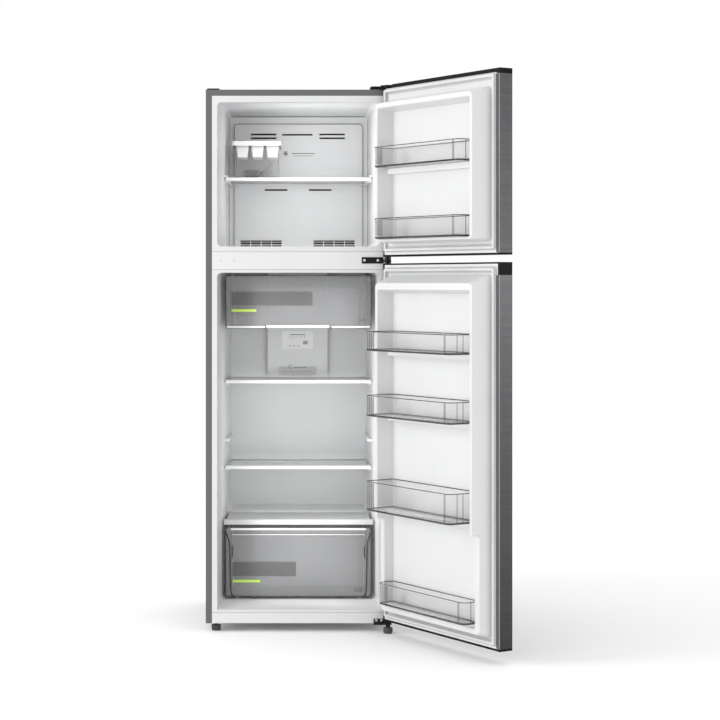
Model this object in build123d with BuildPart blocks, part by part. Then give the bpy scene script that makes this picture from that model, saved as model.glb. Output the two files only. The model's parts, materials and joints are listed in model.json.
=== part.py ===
from build123d import *
import os
from math import cos, radians, sin, tan

os.makedirs("parts", exist_ok=True)

# A frost-free refrigerator with the freezer on top, standing with both doors open.
# Millimetres. X runs to the right, Y to the back and Z up. The origin is on the floor,
# under the middle of the cabinet's front.

# ---- cabinet ----
WIDTH, DEPTH = 595.0, 560.0
CASE_LOW, CASE_TOP = 27.0, 1740.0
SHEET = 0.6  # painted steel
SKIN = 1.5  # formed plastic
CASE_FLANGE = 20.0  # the steel's return around the front
FLANGE_HALF = WIDTH / 2 - CASE_FLANGE
INNER_HALF = WIDTH / 2 - SHEET

# ---- the two compartments ----
MOUTH_HALF, THROAT_HALF, THROAT_Y = 261.0, 244.5, 125.0
FREEZER_LOW, FREEZER_TOP, FREEZER_REAR, FREEZER_REAR_HALF = 1236.4, 1699.5, 490.0, 237.0
FREEZER_REAR_TOP = 1691.0
FRIDGE_LOW, FRIDGE_TOP, FRIDGE_REAR, FRIDGE_REAR_HALF = 90.5, 1152.4, 480.0, 233.5
# The ramp up from the fridge's mouth to its floor, as Y and Z, and how far past its end it fades out.
SILL = [(0.0, 70.0), (34.0, 83.0), (70.0, FRIDGE_LOW)]
SILL_FADE = (54.0, 15.0)
HUMP_Y, HUMP_TOP = 305.0, 352.0  # the step over the machine compartment
FREEZER_FRAME = (1220.1, CASE_TOP - CASE_FLANGE)  # the liner's front frame, low and high
FRIDGE_FRAME = (61.6, 1162.6)
MACHINE_Y, MACHINE_TOP = 335.0, 325.0
STUD_R, LEFT_FOOT = 4.0, (-265.0, 30.0)  # the levelling feet

# ---- doors ----
HINGE_X, HINGE_Y = 286.0, -23.6
DOOR_ANGLE = 122.5  # how far both doors stand open
DOOR_WIDTH, DOOR_THICK = 593.0, 47.0
EDGE_PAST_HINGE, DOOR_BEHIND_HINGE = 10.5, 11.8
SKIN_RETURN = 10.0  # the door skin's fold onto the inner face, which the liner meets
FREEZER_DOOR = (1203.0, 1751.0)
FRIDGE_DOOR = (40.0, 1181.4)
# The raised ring of a door's liner: how far in it starts, its width, height and rounding.
DIKE_IN, DIKE_WIDE, DIKE_HIGH, DIKE_CORNER, DIKE_ROUND, RECESS_CORNER = 36.0, 25.0, 66.0, 16.0, 3.4, 5.0
DIKE_SLOPE = 11.1  # degrees, as are the slopes below
LOW_DIKE_HIGH, LOW_DIKE_TOP = 41.0, 380.0  # the fridge door's ring is lower beside its bottom bin
RECESS_FLOOR = 12.0
RIB_END, RIB_TALL, RIB_DEEP, RIB_CLEAR = 64.0, 18.0, 20.0, 10.0  # the ledges under the bins
# Low end, high end, low slope, high slope, and the recess's low and high end.
FREEZER_DIKE = (1243.0, 1700.0, 5.0, 13.4, 1256.6, 1669.0)
FRIDGE_DIKE = (75.0, 1146.0, 15.0, 22.0, 101.0, 1098.0)
GASKET_IN, GASKET_WIDE, GASKET_HIGH = 12.0, 14.0, 11.2
PIN_R, PIN_PLAY, BUSH_R = 4.0, 0.06, 7.2

# ---- door bins: bottom, height and how far the front stands from the door's inner face ----
BIN_WALL, BIN_LIFT_GAP = 2.0, 0.3
BIN_START, BIN_END, BIN_REAR = 76.0, 517.0, 14.0
FREEZER_BINS = {"lower": (1257.0, 65.0, 96.0), "upper": (1480.0, 65.0, 96.0)}
FRIDGE_BINS = {
    "bottom": (112.0, 68.0, 77.0),
    "tall": (410.0, 92.0, 128.0),
    "middle": (704.0, 66.0, 128.0),
    "top": (908.0, 61.0, 128.0),
}

# ---- shelves and drawers ----
GAP = 0.3  # between things that slide
GLASS = 4.0
SHELF_TRIM = 11.0
FREEZER_SHELF_TOP, UPPER_SHELF_TOP, LOWER_SHELF_TOP = 1466.0, 800.0, 518.0
SHELF_FRONT, SHELF_REAR = 142.0, 425.0
FREEZER_SHELF_REAR = 416.0
SHELF_HALF, SHELF_TRIM_HALF = 231.0, 239.0
RAIL_HALF, RAIL_HIGH = 226.0, 7.0
LID_TOP, LID_HIGH, LID_FRONT, LID_REAR, LID_HALF = 350.0, 18.0, 80.0, 298.0, 242.0
CRISPER = (98.0, 327.0, 82.0, 294.0)  # bottom, top, front, rear
CHILLER = (976.0, 1144.0, 60.0, 436.0)
DRAWER_HALF, DRAWER_BODY_HALF, DRAWER_WALL = 238.5, 222.0, 2.5


def front(y):
    """A plane facing the front, with local x along X and local y along Z."""
    return Plane(origin=(0, y, 0), x_dir=(1, 0, 0), z_dir=(0, -1, 0))


def block(x, y, z, mode=Mode.ADD):
    """A block between two corners, each given as its low and high value on an axis."""
    with BuildSketch(Plane.XY.offset(z[0])) as base:
        with Locations(((x[0] + x[1]) / 2, (y[0] + y[1]) / 2)):
            Rectangle(x[1] - x[0], y[1] - y[0])
    extrude(base.sketch, amount=z[1] - z[0], mode=mode)


def panel(plane, x, y, depth, mode=Mode.ADD, corner=0.0, taper=0.0):
    """A block raised from a rectangle on a plane, with rounded corners if wanted."""
    with BuildSketch(plane) as base:
        with Locations(((x[0] + x[1]) / 2, (y[0] + y[1]) / 2)):
            if corner:
                RectangleRounded(x[1] - x[0], y[1] - y[0], corner)
            else:
                Rectangle(x[1] - x[0], y[1] - y[0])
    extrude(base.sketch, amount=depth, mode=mode, taper=taper)


def prism(plane, points, depth, mode=Mode.ADD):
    """A prism on a closed outline."""
    with BuildSketch(plane) as base:
        with BuildLine():
            Polyline(points, close=True)
        make_face()
    extrude(base.sketch, amount=depth, mode=mode)


def rod(plane, radius, length, at=(0, 0), mode=Mode.ADD):
    """A round bar standing on a plane."""
    with BuildSketch(plane) as base:
        with Locations(at):
            Circle(radius)
    extrude(base.sketch, amount=length, mode=mode)


def write(piece, name):
    """Label a finished piece and write it."""
    piece.part.label = name
    export_step(piece.part, f"parts/{name}.step")


def space(low, high, rear, rear_half, side_outline, grow):
    """The room inside a compartment, grown on every side but the front."""
    g = grow
    half_plan = [
        (MOUTH_HALF + g, -1), (MOUTH_HALF + g, 0), (THROAT_HALF + g, THROAT_Y), (rear_half + g, rear + g),
    ]
    with BuildPart() as room:
        plan = half_plan + [(-x, y) for x, y in reversed(half_plan)]
        prism(Plane.XY.offset(low - 20), plan, high - low + 40)
        prism(Plane.YZ.offset(-300), side_outline, 600, mode=Mode.INTERSECT)
        sides = room.edges().filter_by(Axis.Z, reverse=True).filter_by(
            lambda e: abs(e.center().X) > rear_half - 12 and e.center().Y > 1
        )
        fillet(sides, 14 + g)
    return room.part


def freezer_space(grow=0.0):
    g = grow
    outline = [
        (-1, FREEZER_LOW - g), (FREEZER_REAR + g, FREEZER_LOW - g),
        (FREEZER_REAR + g, FREEZER_REAR_TOP + g), (-1, FREEZER_TOP + g),
    ]
    return space(FREEZER_LOW, FREEZER_TOP, FREEZER_REAR, FREEZER_REAR_HALF, outline, g)


def sill_space(grow):
    """The room over the ramp at the fridge's mouth, which fades into the corners of the floor."""
    g = grow
    fade_y, fade_z = SILL[-1][0] + SILL_FADE[0], SILL[-1][1] + SILL_FADE[1]
    ramp = [(y, z - g) for y, z in SILL]
    outline = [(-1, SILL[0][1] - g), *ramp, (fade_y, fade_z - g), (-1, fade_z - g)]
    fade_half = MOUTH_HALF - (MOUTH_HALF - THROAT_HALF) * fade_y / THROAT_Y
    half_plan = [(MOUTH_HALF + g, -1), (MOUTH_HALF + g, 0), (fade_half + g, fade_y)]
    with BuildPart() as wedge:
        prism(Plane.XY.offset(0), half_plan + [(-x, y) for x, y in reversed(half_plan)], 200)
        prism(Plane.YZ.offset(-300), outline, 600, mode=Mode.INTERSECT)
    return wedge.part


def fridge_space(grow=0.0):
    g = grow
    outline = [
        (-1, FRIDGE_LOW - g), (HUMP_Y + g, FRIDGE_LOW - g), (HUMP_Y + g, HUMP_TOP - g),
        (FRIDGE_REAR + g, HUMP_TOP - g), (FRIDGE_REAR + g, FRIDGE_TOP + g), (-1, FRIDGE_TOP + g),
    ]
    with BuildPart() as room:
        add(space(FRIDGE_LOW, FRIDGE_TOP, FRIDGE_REAR, FRIDGE_REAR_HALF, outline, g))
        add(sill_space(g))
    return room.part


freezer_room, freezer_tub = freezer_space(), freezer_space(SKIN)
fridge_room, fridge_tub = fridge_space(), fridge_space(SKIN)

# =========================== cabinet ===========================

# One steel sheet bent over both sides and the top, with a return round the front.
with BuildPart() as outer_case:
    panel(front(DEPTH), (-WIDTH / 2, WIDTH / 2), (CASE_LOW, CASE_TOP), DEPTH)
    block((-INNER_HALF, INNER_HALF), (SHEET, DEPTH), (CASE_LOW, CASE_TOP - SHEET), mode=Mode.SUBTRACT)
    block((-FLANGE_HALF, FLANGE_HALF), (0, SHEET), (CASE_LOW, CASE_TOP - CASE_FLANGE), mode=Mode.SUBTRACT)
write(outer_case, "outer_case")

with BuildPart() as back_panel:
    block((-INNER_HALF, INNER_HALF), (DEPTH - SHEET, DEPTH), (MACHINE_TOP, CASE_TOP - SHEET))
    for x in (-150.0, 0.0, 150.0):
        panel(front(DEPTH), (x - 8, x + 8), (420, 1650), -2.5, corner=7.9)
write(back_panel, "back_panel")

# The foam is blown in between the case and the two tubs, and carries the whole cabinet.
with BuildPart() as cabinet_foam:
    block((-INNER_HALF, INNER_HALF), (SKIN, DEPTH - SHEET), (CASE_LOW + 1, CASE_TOP - SHEET))
    add(freezer_tub, mode=Mode.SUBTRACT)
    add(fridge_tub, mode=Mode.SUBTRACT)
    block((-300, 300), (MACHINE_Y, DEPTH + 1), (0, MACHINE_TOP), mode=Mode.SUBTRACT)
    rod(Plane.XY.offset(CASE_LOW), 6, 40, at=LEFT_FOOT, mode=Mode.SUBTRACT)
write(cabinet_foam, "cabinet_foam")


def shelf_rails(room, levels, rear):
    """Ledges along both side walls, cut to the walls' slope."""
    with BuildPart() as rails:
        for top in levels:
            for side in (-1, 1):
                x = sorted((side * RAIL_HALF, side * 262))
                block(x, (SHELF_FRONT + 15, rear), (top - RAIL_HIGH, top))
        add(room, mode=Mode.INTERSECT)
    return rails.part


def rear_stops(room, levels, y):
    """Small lugs above the ledges that keep a shelf from tipping."""
    with BuildPart() as lugs:
        for z in levels:
            for side in (-1, 1):
                x = sorted((side * (SHELF_HALF + 1.5), side * 262))
                block(x, (y, y + 22), (z, z + 6))
        add(room, mode=Mode.INTERSECT)
    return lugs.part


freezer_rails = shelf_rails(freezer_room, [FREEZER_SHELF_TOP - 4 - GLASS - GAP], FREEZER_SHELF_REAR)
fridge_levels = [UPPER_SHELF_TOP - 4 - GLASS - GAP, LOWER_SHELF_TOP - 4 - GLASS - GAP, 604.0]
fridge_rails = shelf_rails(fridge_room, fridge_levels, SHELF_REAR)
chiller_rails = shelf_rails(fridge_room, [CHILLER[1] - 10 - GAP], CHILLER[3])
lid_rails = shelf_rails(fridge_room, [LID_TOP - LID_HIGH - GAP], LID_REAR)
freezer_lugs = rear_stops(freezer_room, [FREEZER_SHELF_TOP + 1.5], 152.0)

with BuildPart() as freezer_liner:
    panel(front(SKIN), (-FLANGE_HALF, FLANGE_HALF), FREEZER_FRAME, SKIN)
    add(freezer_tub)
    block((-300, 300), (-20, 0), (1000, 1800), mode=Mode.SUBTRACT)
    add(freezer_room, mode=Mode.SUBTRACT)
    add(freezer_rails)
    add(freezer_lugs)
write(freezer_liner, "freezer_liner")

with BuildPart() as fridge_liner:
    panel(front(SKIN), (-FLANGE_HALF, FLANGE_HALF), FRIDGE_FRAME, SKIN)
    add(fridge_tub)
    block((-300, 300), (-20, 0), (0, 1300), mode=Mode.SUBTRACT)
    add(fridge_room, mode=Mode.SUBTRACT)
    for rails in (fridge_rails, chiller_rails, lid_rails):
        add(rails)
    for side in (-1, 1):
        x = sorted((side * 196, side * 204))
        block(x, (100, CRISPER[3] - 5), (FRIDGE_LOW - 0.5, CRISPER[0] - GAP))
write(fridge_liner, "fridge_liner")

# The bridge between the two mouths.
with BuildPart() as mullion_cover:
    panel(front(SKIN), (-FLANGE_HALF, FLANGE_HALF), (FRIDGE_FRAME[1], FREEZER_FRAME[0]), SKIN)
    fillet(mullion_cover.edges().filter_by(Axis.X).group_by(Axis.Y)[0], 0.7)
write(mullion_cover, "mullion_cover")

with BuildPart() as kick_plate:
    panel(front(SKIN), (-FLANGE_HALF, FLANGE_HALF), (CASE_LOW + 0.5, FRIDGE_FRAME[0]), SKIN)
    fillet(kick_plate.edges().filter_by(Axis.X).group_by(Axis.Y)[0], 0.7)
write(kick_plate, "kick_plate")

ROLLER_X, ROLLER_Y, ROLLER_R, ROLLER_WIDE, AXLE_R = 245.0, 515.0, 15.0, 18.0, 3.0
# The pan under everything. Its ears hold the rear rollers on riveted axles.
with BuildPart() as base_pan:
    block((-INNER_HALF, INNER_HALF), (SKIN, DEPTH - SHEET), (CASE_LOW, CASE_LOW + 1))
    for side in (-1, 1):
        for offset in (-1, 1):
            x0 = side * ROLLER_X + offset * (ROLLER_WIDE / 2 + 2)
            block((x0 - 1, x0 + 1), (ROLLER_Y - 14, ROLLER_Y + 14), (ROLLER_R - 6, CASE_LOW + 0.5))
        block(
            (side * ROLLER_X - ROLLER_WIDE / 2 - 1, side * ROLLER_X + ROLLER_WIDE / 2 + 1),
            (ROLLER_Y - 19, ROLLER_Y + 19), (CASE_LOW - 1, CASE_LOW + 2), mode=Mode.SUBTRACT,
        )
        start = side * ROLLER_X - ROLLER_WIDE / 2 - 5
        rod(Plane.YZ.offset(start), AXLE_R, ROLLER_WIDE + 10, at=(ROLLER_Y, ROLLER_R))
    rod(Plane.XY.offset(CASE_LOW - 1), STUD_R + PIN_PLAY, 4, at=LEFT_FOOT, mode=Mode.SUBTRACT)
write(base_pan, "base_pan")


def roller(side):
    with BuildPart() as wheel:
        inner_face = Plane.YZ.offset(side * ROLLER_X - ROLLER_WIDE / 2)
        centre = (ROLLER_Y, ROLLER_R)
        rod(inner_face, ROLLER_R, ROLLER_WIDE, at=centre)
        chamfer(wheel.edges(), 1.2)
        rod(inner_face, AXLE_R + PIN_PLAY, ROLLER_WIDE, at=centre, mode=Mode.SUBTRACT)
    return wheel


write(roller(-1), "left_roller")
write(roller(1), "right_roller")


def levelling_foot(x, y, stud_top):
    """A ribbed foot on a threaded stud."""
    with BuildPart() as foot:
        rod(Plane.XY, 13.5, 4, at=(x, y))
        rod(Plane.XY.offset(4), 15, 14, at=(x, y))
        with Locations(Location((x, y, 11))):
            with PolarLocations(15.3, 18):
                Box(2.4, 2.4, 15, mode=Mode.SUBTRACT)
        rod(Plane.XY.offset(17), STUD_R, stud_top - 17, at=(x, y))
    return foot


write(levelling_foot(*LEFT_FOOT, 58), "left_foot")
write(levelling_foot(HINGE_X, HINGE_Y, 28), "right_foot")

# =========================== hinges ===========================

PLATE_Z = CASE_TOP
TOP_PLATE_AT = (HINGE_X - 20, 36)
TOP_SCREWS = [(TOP_PLATE_AT[0] + x, TOP_PLATE_AT[1] + y) for x in (-18, 18) for y in (-14, 14)]
with BuildPart() as top_hinge_bracket:
    with BuildSketch(Plane.XY.offset(PLATE_Z)) as plate:
        with Locations((HINGE_X, HINGE_Y)):
            Circle(11)
        with Locations((HINGE_X - 4, 0)):
            Rectangle(30, 48)
        with Locations(TOP_PLATE_AT):
            RectangleRounded(58, 50, 8)
    extrude(plate.sketch, amount=3)
    rod(Plane.XY.offset(PLATE_Z - 24), PIN_R, 25, at=(HINGE_X, HINGE_Y))
    for spot in TOP_SCREWS:
        rod(Plane.XY.offset(PLATE_Z - 1), 2.6, 6, at=spot, mode=Mode.SUBTRACT)
write(top_hinge_bracket, "top_hinge_bracket")

with BuildPart() as top_hinge_cover:
    with BuildSketch(Plane.XY.offset(PLATE_Z)) as plan:
        with Locations((HINGE_X, HINGE_Y)):
            Circle(14.5)
        with Locations((HINGE_X - 5, 0)):
            Rectangle(36, 52)
        with Locations((HINGE_X - 21, 37)):
            RectangleRounded(68, 58, 11)
    extrude(plan.sketch, amount=11.5)
    fillet(top_hinge_cover.faces().sort_by(Axis.Z)[-1].edges(), 2.5)
    with BuildSketch(Plane.XY.offset(PLATE_Z)) as inside:
        with Locations((HINGE_X, HINGE_Y)):
            Circle(12)
        with Locations((HINGE_X - 5, 0)):
            Rectangle(32, 49)
        with Locations((HINGE_X - 21, 37)):
            RectangleRounded(63, 53, 9)
    extrude(inside.sketch, amount=9, mode=Mode.SUBTRACT)
write(top_hinge_cover, "top_hinge_cover")

MID_Z = (1187.5, 1191.5)  # the middle bracket's arm
MID_SCREWS = (212.0, 255.0)
with BuildPart() as middle_hinge_bracket:
    panel(front(0), (203, 272), (1181.5, 1202), 2.5, corner=3)
    for x in MID_SCREWS:
        rod(front(1), 2.6, 6, at=(x, 1192), mode=Mode.SUBTRACT)
    with BuildSketch(Plane.XY.offset(MID_Z[0])) as arm:
        with Locations((HINGE_X, HINGE_Y)):
            Circle(11)
        with Locations((HINGE_X - 5.5, -12.1)):
            Rectangle(33, 24.2)
    extrude(arm.sketch, amount=MID_Z[1] - MID_Z[0])
    with Locations(Location((HINGE_X - 14, -9, MID_Z[0]))):
        with GridLocations(9, 9, 3, 2):
            Cylinder(2, 20, mode=Mode.SUBTRACT)
    rod(Plane.XY.offset(MID_Z[0] - 26), PIN_R, 56, at=(HINGE_X, HINGE_Y))
write(middle_hinge_bracket, "middle_hinge_bracket")

BOTTOM_PLATE = (CASE_LOW + 1.5, CASE_LOW + 5)
BOTTOM_SCREWS, BOTTOM_SCREW_Z = (250.0, 266.0), 37.0
with BuildPart() as bottom_hinge_bracket:
    with BuildSketch(Plane.XY.offset(BOTTOM_PLATE[0])) as plate:
        with Locations((HINGE_X - 2, -18.5)):
            RectangleRounded(27, 34, 5)
        with Locations((HINGE_X - 17, -8)):
            Rectangle(54, 15)
    extrude(plate.sketch, amount=BOTTOM_PLATE[1] - BOTTOM_PLATE[0])
    panel(front(-0.2), (241, 294), (CASE_LOW - 5, BOTTOM_SCREW_Z + 5), 2.5, corner=3)
    for x in BOTTOM_SCREWS:
        rod(front(1), 2.6, 6, at=(x, BOTTOM_SCREW_Z), mode=Mode.SUBTRACT)
    with Locations(Location((HINGE_X - 24, -9, BOTTOM_PLATE[0]))):
        with GridLocations(9, 7, 3, 2):
            Cylinder(2, 20, mode=Mode.SUBTRACT)
    rod(Plane.XY.offset(BOTTOM_PLATE[0]), PIN_R, 31, at=(HINGE_X, HINGE_Y))
    rod(Plane.XY.offset(BOTTOM_PLATE[0] - 8), 7.5, 8, at=(HINGE_X, HINGE_Y))
    rod(Plane.XY.offset(BOTTOM_PLATE[0] - 9), STUD_R + PIN_PLAY, 9, at=(HINGE_X, HINGE_Y), mode=Mode.SUBTRACT)
write(bottom_hinge_bracket, "bottom_hinge_bracket")

# Pan-head screws of the three hinge brackets, each with a cross recess.
screw_spots = [Location((x, -2.5, 1192), (90, 0, 0)) for x in MID_SCREWS]
screw_spots += [Location((x, -2.7, BOTTOM_SCREW_Z), (90, 0, 0)) for x in BOTTOM_SCREWS]
screw_spots += [Location((*spot, PLATE_Z + 3)) for spot in TOP_SCREWS]
with BuildPart() as hinge_screws:
    with Locations(*screw_spots):
        Cylinder(4.3, 2.4, align=(Align.CENTER, Align.CENTER, Align.MIN))
    fillet(hinge_screws.edges().filter_by(GeomType.CIRCLE).filter_by(
        lambda e: e.center().Y < -4.5 or e.center().Z > PLATE_Z + 5), 1.2)
    with Locations(*screw_spots):
        Cylinder(2.4, 2.4, align=(Align.CENTER, Align.CENTER, Align.MAX))
    with Locations(*[spot * Location((0, 0, 2)) for spot in screw_spots]):
        Box(4.6, 1, 1.6, mode=Mode.SUBTRACT)
        Box(1, 4.6, 1.6, mode=Mode.SUBTRACT)
write(hinge_screws, "hinge_screws")

# =========================== machine compartment ===========================

COMP_X, COMP_Y, COMP_LOW = 120.0, 455.0, 44.0
FOOT_SPOTS = [(COMP_X + x, COMP_Y + y) for x in (-90, 90) for y in (-60, 60)]
with BuildPart() as compressor:
    with BuildSketch(Plane.XY.offset(COMP_LOW + 8)) as body:
        with Locations((COMP_X, COMP_Y)):
            Ellipse(92, 76)
    extrude(body.sketch, amount=160)
    fillet(compressor.faces().sort_by(Axis.Z)[-1].edges(), 34)
    fillet(compressor.faces().sort_by(Axis.Z)[0].edges(), 20)
    with BuildSketch(Plane.XY.offset(COMP_LOW + 6)) as foot_plate:
        with Locations((COMP_X, COMP_Y)):
            RectangleRounded(206, 146, 14)
        with Locations(*FOOT_SPOTS):
            Circle(7, mode=Mode.SUBTRACT)
    extrude(foot_plate.sketch, amount=3)
    block((COMP_X - 112, COMP_X - 80), (COMP_Y - 32, COMP_Y + 32), (100, 165))
    rod(front(COMP_Y + 70), 5, -24, at=(COMP_X + 20, 120))
write(compressor, "compressor")

with BuildPart() as compressor_mounts:
    for spot in FOOT_SPOTS:
        rod(Plane.XY.offset(CASE_LOW + 1), 12, COMP_LOW + 6 - CASE_LOW - 1, at=spot)
        rod(Plane.XY.offset(COMP_LOW + 6), 6.9, 3, at=spot)
        rod(Plane.XY.offset(COMP_LOW + 9), 9.5, 4, at=spot)
write(compressor_mounts, "compressor_mounts")

# A serpentine tube through plate fins, standing beside the compressor.
COND_X, COND_Y, COND_LOW, COND_ROWS, COND_PITCH, TUBE_R = (-240.0, -30.0), 400.0, 62.0, 7, 30.0, 3.5
with BuildPart() as condenser:
    for fin in range(18):
        x = COND_X[0] + 8 + fin * (COND_X[1] - COND_X[0] - 17) / 17
        block((x, x + 1), (COND_Y - 11, COND_Y + 11), (COND_LOW - 12, COND_LOW + 6 * COND_PITCH + 12))
    for row in range(COND_ROWS):
        z = COND_LOW + row * COND_PITCH
        rod(Plane.YZ.offset(COND_X[0]), TUBE_R, COND_X[1] - COND_X[0], at=(COND_Y, z))
    for row in range(COND_ROWS - 1):
        z = COND_LOW + (row + 0.5) * COND_PITCH
        side = row % 2
        with BuildSketch(Plane(origin=(COND_X[side], COND_Y, z), x_dir=(0, 1, 0), z_dir=(1, 0, 0))) as ring:
            with Locations((0, COND_PITCH / 2)):
                Circle(TUBE_R)
        turn = Axis((COND_X[side], COND_Y, z), (0, 1, 0))
        revolve(ring.sketch, axis=turn, revolution_arc=180 if side else -180)
write(condenser, "condenser")

# It stands on the compressor, whose warmth dries it.
TRAY_X, TRAY_Y, TRAY_LOW = (COMP_X - 105, COMP_X + 95), (COMP_Y - 78, COMP_Y + 78), 222.0
TRAY_WALL, TRAY_HIGH = 2.0, 34.0
with BuildPart() as drain_tray:
    panel(Plane.XY.offset(TRAY_LOW), TRAY_X, TRAY_Y, TRAY_HIGH, corner=12)
    panel(
        Plane.XY.offset(TRAY_LOW + TRAY_WALL), (TRAY_X[0] + TRAY_WALL, TRAY_X[1] - TRAY_WALL),
        (TRAY_Y[0] + TRAY_WALL, TRAY_Y[1] - TRAY_WALL), TRAY_HIGH, mode=Mode.SUBTRACT, corner=10,
    )
    for x in (COMP_X - 40, COMP_X + 36):
        block((x, x + 4), (COMP_Y - 20, COMP_Y + 20), (COMP_LOW + 168, TRAY_LOW))
write(drain_tray, "drain_tray")

INLET_R, INLET_AT = 8.0, (0.0, 290.0)
with BuildPart() as machine_cover:
    block((-INNER_HALF + 2, INNER_HALF - 2), (DEPTH - 1, DEPTH), (CASE_LOW + 3, MACHINE_TOP - 1))
    for middle in (-150, 150):
        for row in range(9):
            z = 80 + row * 22
            slot = (middle - 75, middle + 75), (z, z + 8)
            panel(front(DEPTH + 1), *slot, 4, mode=Mode.SUBTRACT, corner=3.9)
    rod(front(DEPTH + 1), INLET_R, 4, at=INLET_AT, mode=Mode.SUBTRACT)
write(machine_cover, "machine_cover")

# The bush that a power cord would come out of.
with BuildPart() as cord_inlet:
    rod(front(DEPTH), INLET_R, 8, at=INLET_AT)
    rod(front(DEPTH + 3), INLET_R + 3, 3, at=INLET_AT)
    chamfer(cord_inlet.faces().sort_by(Axis.Y)[-1].edges(), 1)
    rod(front(DEPTH + 4), 3.6, 14, at=INLET_AT, mode=Mode.SUBTRACT)
write(cord_inlet, "cord_inlet")

# =========================== cold air ===========================

COVER_Y = 430.0
with BuildPart() as freezer_rear_cover:
    block((-237.4, 237.4), (COVER_Y, COVER_Y + 2), (FREEZER_LOW + 2, FREEZER_REAR_TOP - 1))
    panel(front(COVER_Y + 1), (-219, 219), (FREEZER_SHELF_TOP - 10, 1663), 7, corner=14)
    panel(front(COVER_Y + 1), (-219, 219), (1268, FREEZER_SHELF_TOP - 6), 4)
    side = [(COVER_Y + 1, 1269), (COVER_Y - 3, 1269), (COVER_Y - 12, 1239), (COVER_Y + 1, 1239)]
    prism(Plane.YZ.offset(-219), side, 438)
    for x, z, wide in ((-120, 1630, 88), (-120, 1617, 88), (-4, 1629, 105), (116, 1630, 88), (116, 1617, 88),
                       (-77, 1439, 78), (75, 1439, 78)):
        panel(front(COVER_Y + 5), (x - wide / 2, x + wide / 2), (z - 3, z + 3), 20, mode=Mode.SUBTRACT)
    for centre in (-128.5, 122.5):
        for column in range(4):
            for z in (1261, 1253.5, 1246):
                x = centre + (column - 1.5) * 36
                panel(front(COVER_Y + 5), (x - 16.5, x + 16.5), (z - 2, z + 2), 30, mode=Mode.SUBTRACT)
    add(freezer_room, mode=Mode.INTERSECT)
write(freezer_rear_cover, "freezer_rear_cover")

# Plate fins on straight tubes, behind the rear cover.
EVAP = (-190.0, 190.0, 440.0, 484.0, 1262.0, 1420.0)
with BuildPart() as evaporator:
    for z in range(3):
        for y in (451.0, 473.0):
            rod(Plane.YZ.offset(EVAP[0] - 6), 4, EVAP[1] - EVAP[0] + 12, at=(y, EVAP[4] + 26 + z * 53))
    for fin in range(20):
        x = EVAP[0] + fin * (EVAP[1] - EVAP[0] - 1) / 19
        block((x, x + 1), EVAP[2:4], EVAP[4:6])
write(evaporator, "evaporator")

FAN_X, FAN_Z = -4.0, 1545.0
with BuildPart() as fan_motor:
    rod(front(489.5), 24, 17, at=(FAN_X, FAN_Z))
    rod(front(489.5), 62, 1.5, at=(FAN_X, FAN_Z))
    rod(front(487), 2 + PIN_PLAY, 15, at=(FAN_X, FAN_Z), mode=Mode.SUBTRACT)
write(fan_motor, "fan_motor")

with BuildPart() as evaporator_fan:
    rod(front(470), 15, 18, at=(FAN_X, FAN_Z))
    rod(front(485), 2, 16, at=(FAN_X, FAN_Z))
    with BuildSketch(front(468)) as blade:
        with Locations((FAN_X, FAN_Z)):
            with PolarLocations(32, 5):
                Ellipse(21, 13)
    extrude(blade.sketch, amount=2.2)
    with BuildSketch(front(469)) as shroud:
        with Locations((FAN_X, FAN_Z)):
            Circle(54)
            Circle(51, mode=Mode.SUBTRACT)
    extrude(shroud.sketch, amount=4)
write(evaporator_fan, "evaporator_fan")

# The column that carries cold air down the middle of the fridge's rear wall.
DUCT_X, DUCT_Y, DUCT_LOW = (-108.0, 102.0), 445.0, 806.0
SLIDER_X, SLIDER_Z, SLIDER_TRAVEL = 24.0, 913.0, 56.0
with BuildPart() as air_duct:
    side = [(FRIDGE_REAR - 0.2, DUCT_LOW - 22), (DUCT_Y, DUCT_LOW), (DUCT_Y, FRIDGE_TOP - 0.5),
            (FRIDGE_REAR - 0.2, FRIDGE_TOP - 0.5)]
    prism(Plane.YZ.offset(DUCT_X[0]), side, DUCT_X[1] - DUCT_X[0])
    fillet(air_duct.edges().filter_by(Axis.Z).group_by(Axis.Y)[0], 4)
    hollow_x, hollow_z = (DUCT_X[0] + 4, DUCT_X[1] - 4), (DUCT_LOW + 3, FRIDGE_TOP - 4)
    block(hollow_x, (DUCT_Y + 3, FRIDGE_REAR), hollow_z, mode=Mode.SUBTRACT)
    for column in range(12):
        for row in range(3):
            x = -3 + (column - 5.5) * 11
            panel(front(DUCT_Y + 4), (x - 3, x + 3), (812 + row * 7, 815.5 + row * 7), 8, mode=Mode.SUBTRACT)
    slot = (SLIDER_X - SLIDER_TRAVEL - 6, SLIDER_X + 6)
    panel(front(DUCT_Y + 4), slot, (SLIDER_Z - 3, SLIDER_Z + 3), 8, mode=Mode.SUBTRACT)
    block((70, 96), (DUCT_Y - 1, DUCT_Y + 4), (1050, 1090), mode=Mode.SUBTRACT)
write(air_duct, "air_duct")

with BuildPart() as temperature_slider:
    panel(front(DUCT_Y - 1.5), (SLIDER_X - 8, SLIDER_X + 8), (SLIDER_Z - 6, SLIDER_Z + 6), 4, corner=2)
    panel(front(DUCT_Y + 6), (SLIDER_X - 2.6, SLIDER_X + 2.6), (SLIDER_Z - 2.6, SLIDER_Z + 2.6), 9)
write(temperature_slider, "temperature_slider")

# The flap inside the duct that lets cold air through. It turns on its own pins.
FLAP_Y, FLAP_Z = 464.0, 985.0
with BuildPart() as damper_flap:
    rod(Plane.YZ.offset(-50), 2.5, 94, at=(FLAP_Y, FLAP_Z))
    block((-48, 42), (FLAP_Y - 1, FLAP_Y + 1), (FLAP_Z - 13, FLAP_Z + 13))
write(damper_flap, "damper_flap")

# =========================== shelves ===========================


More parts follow.
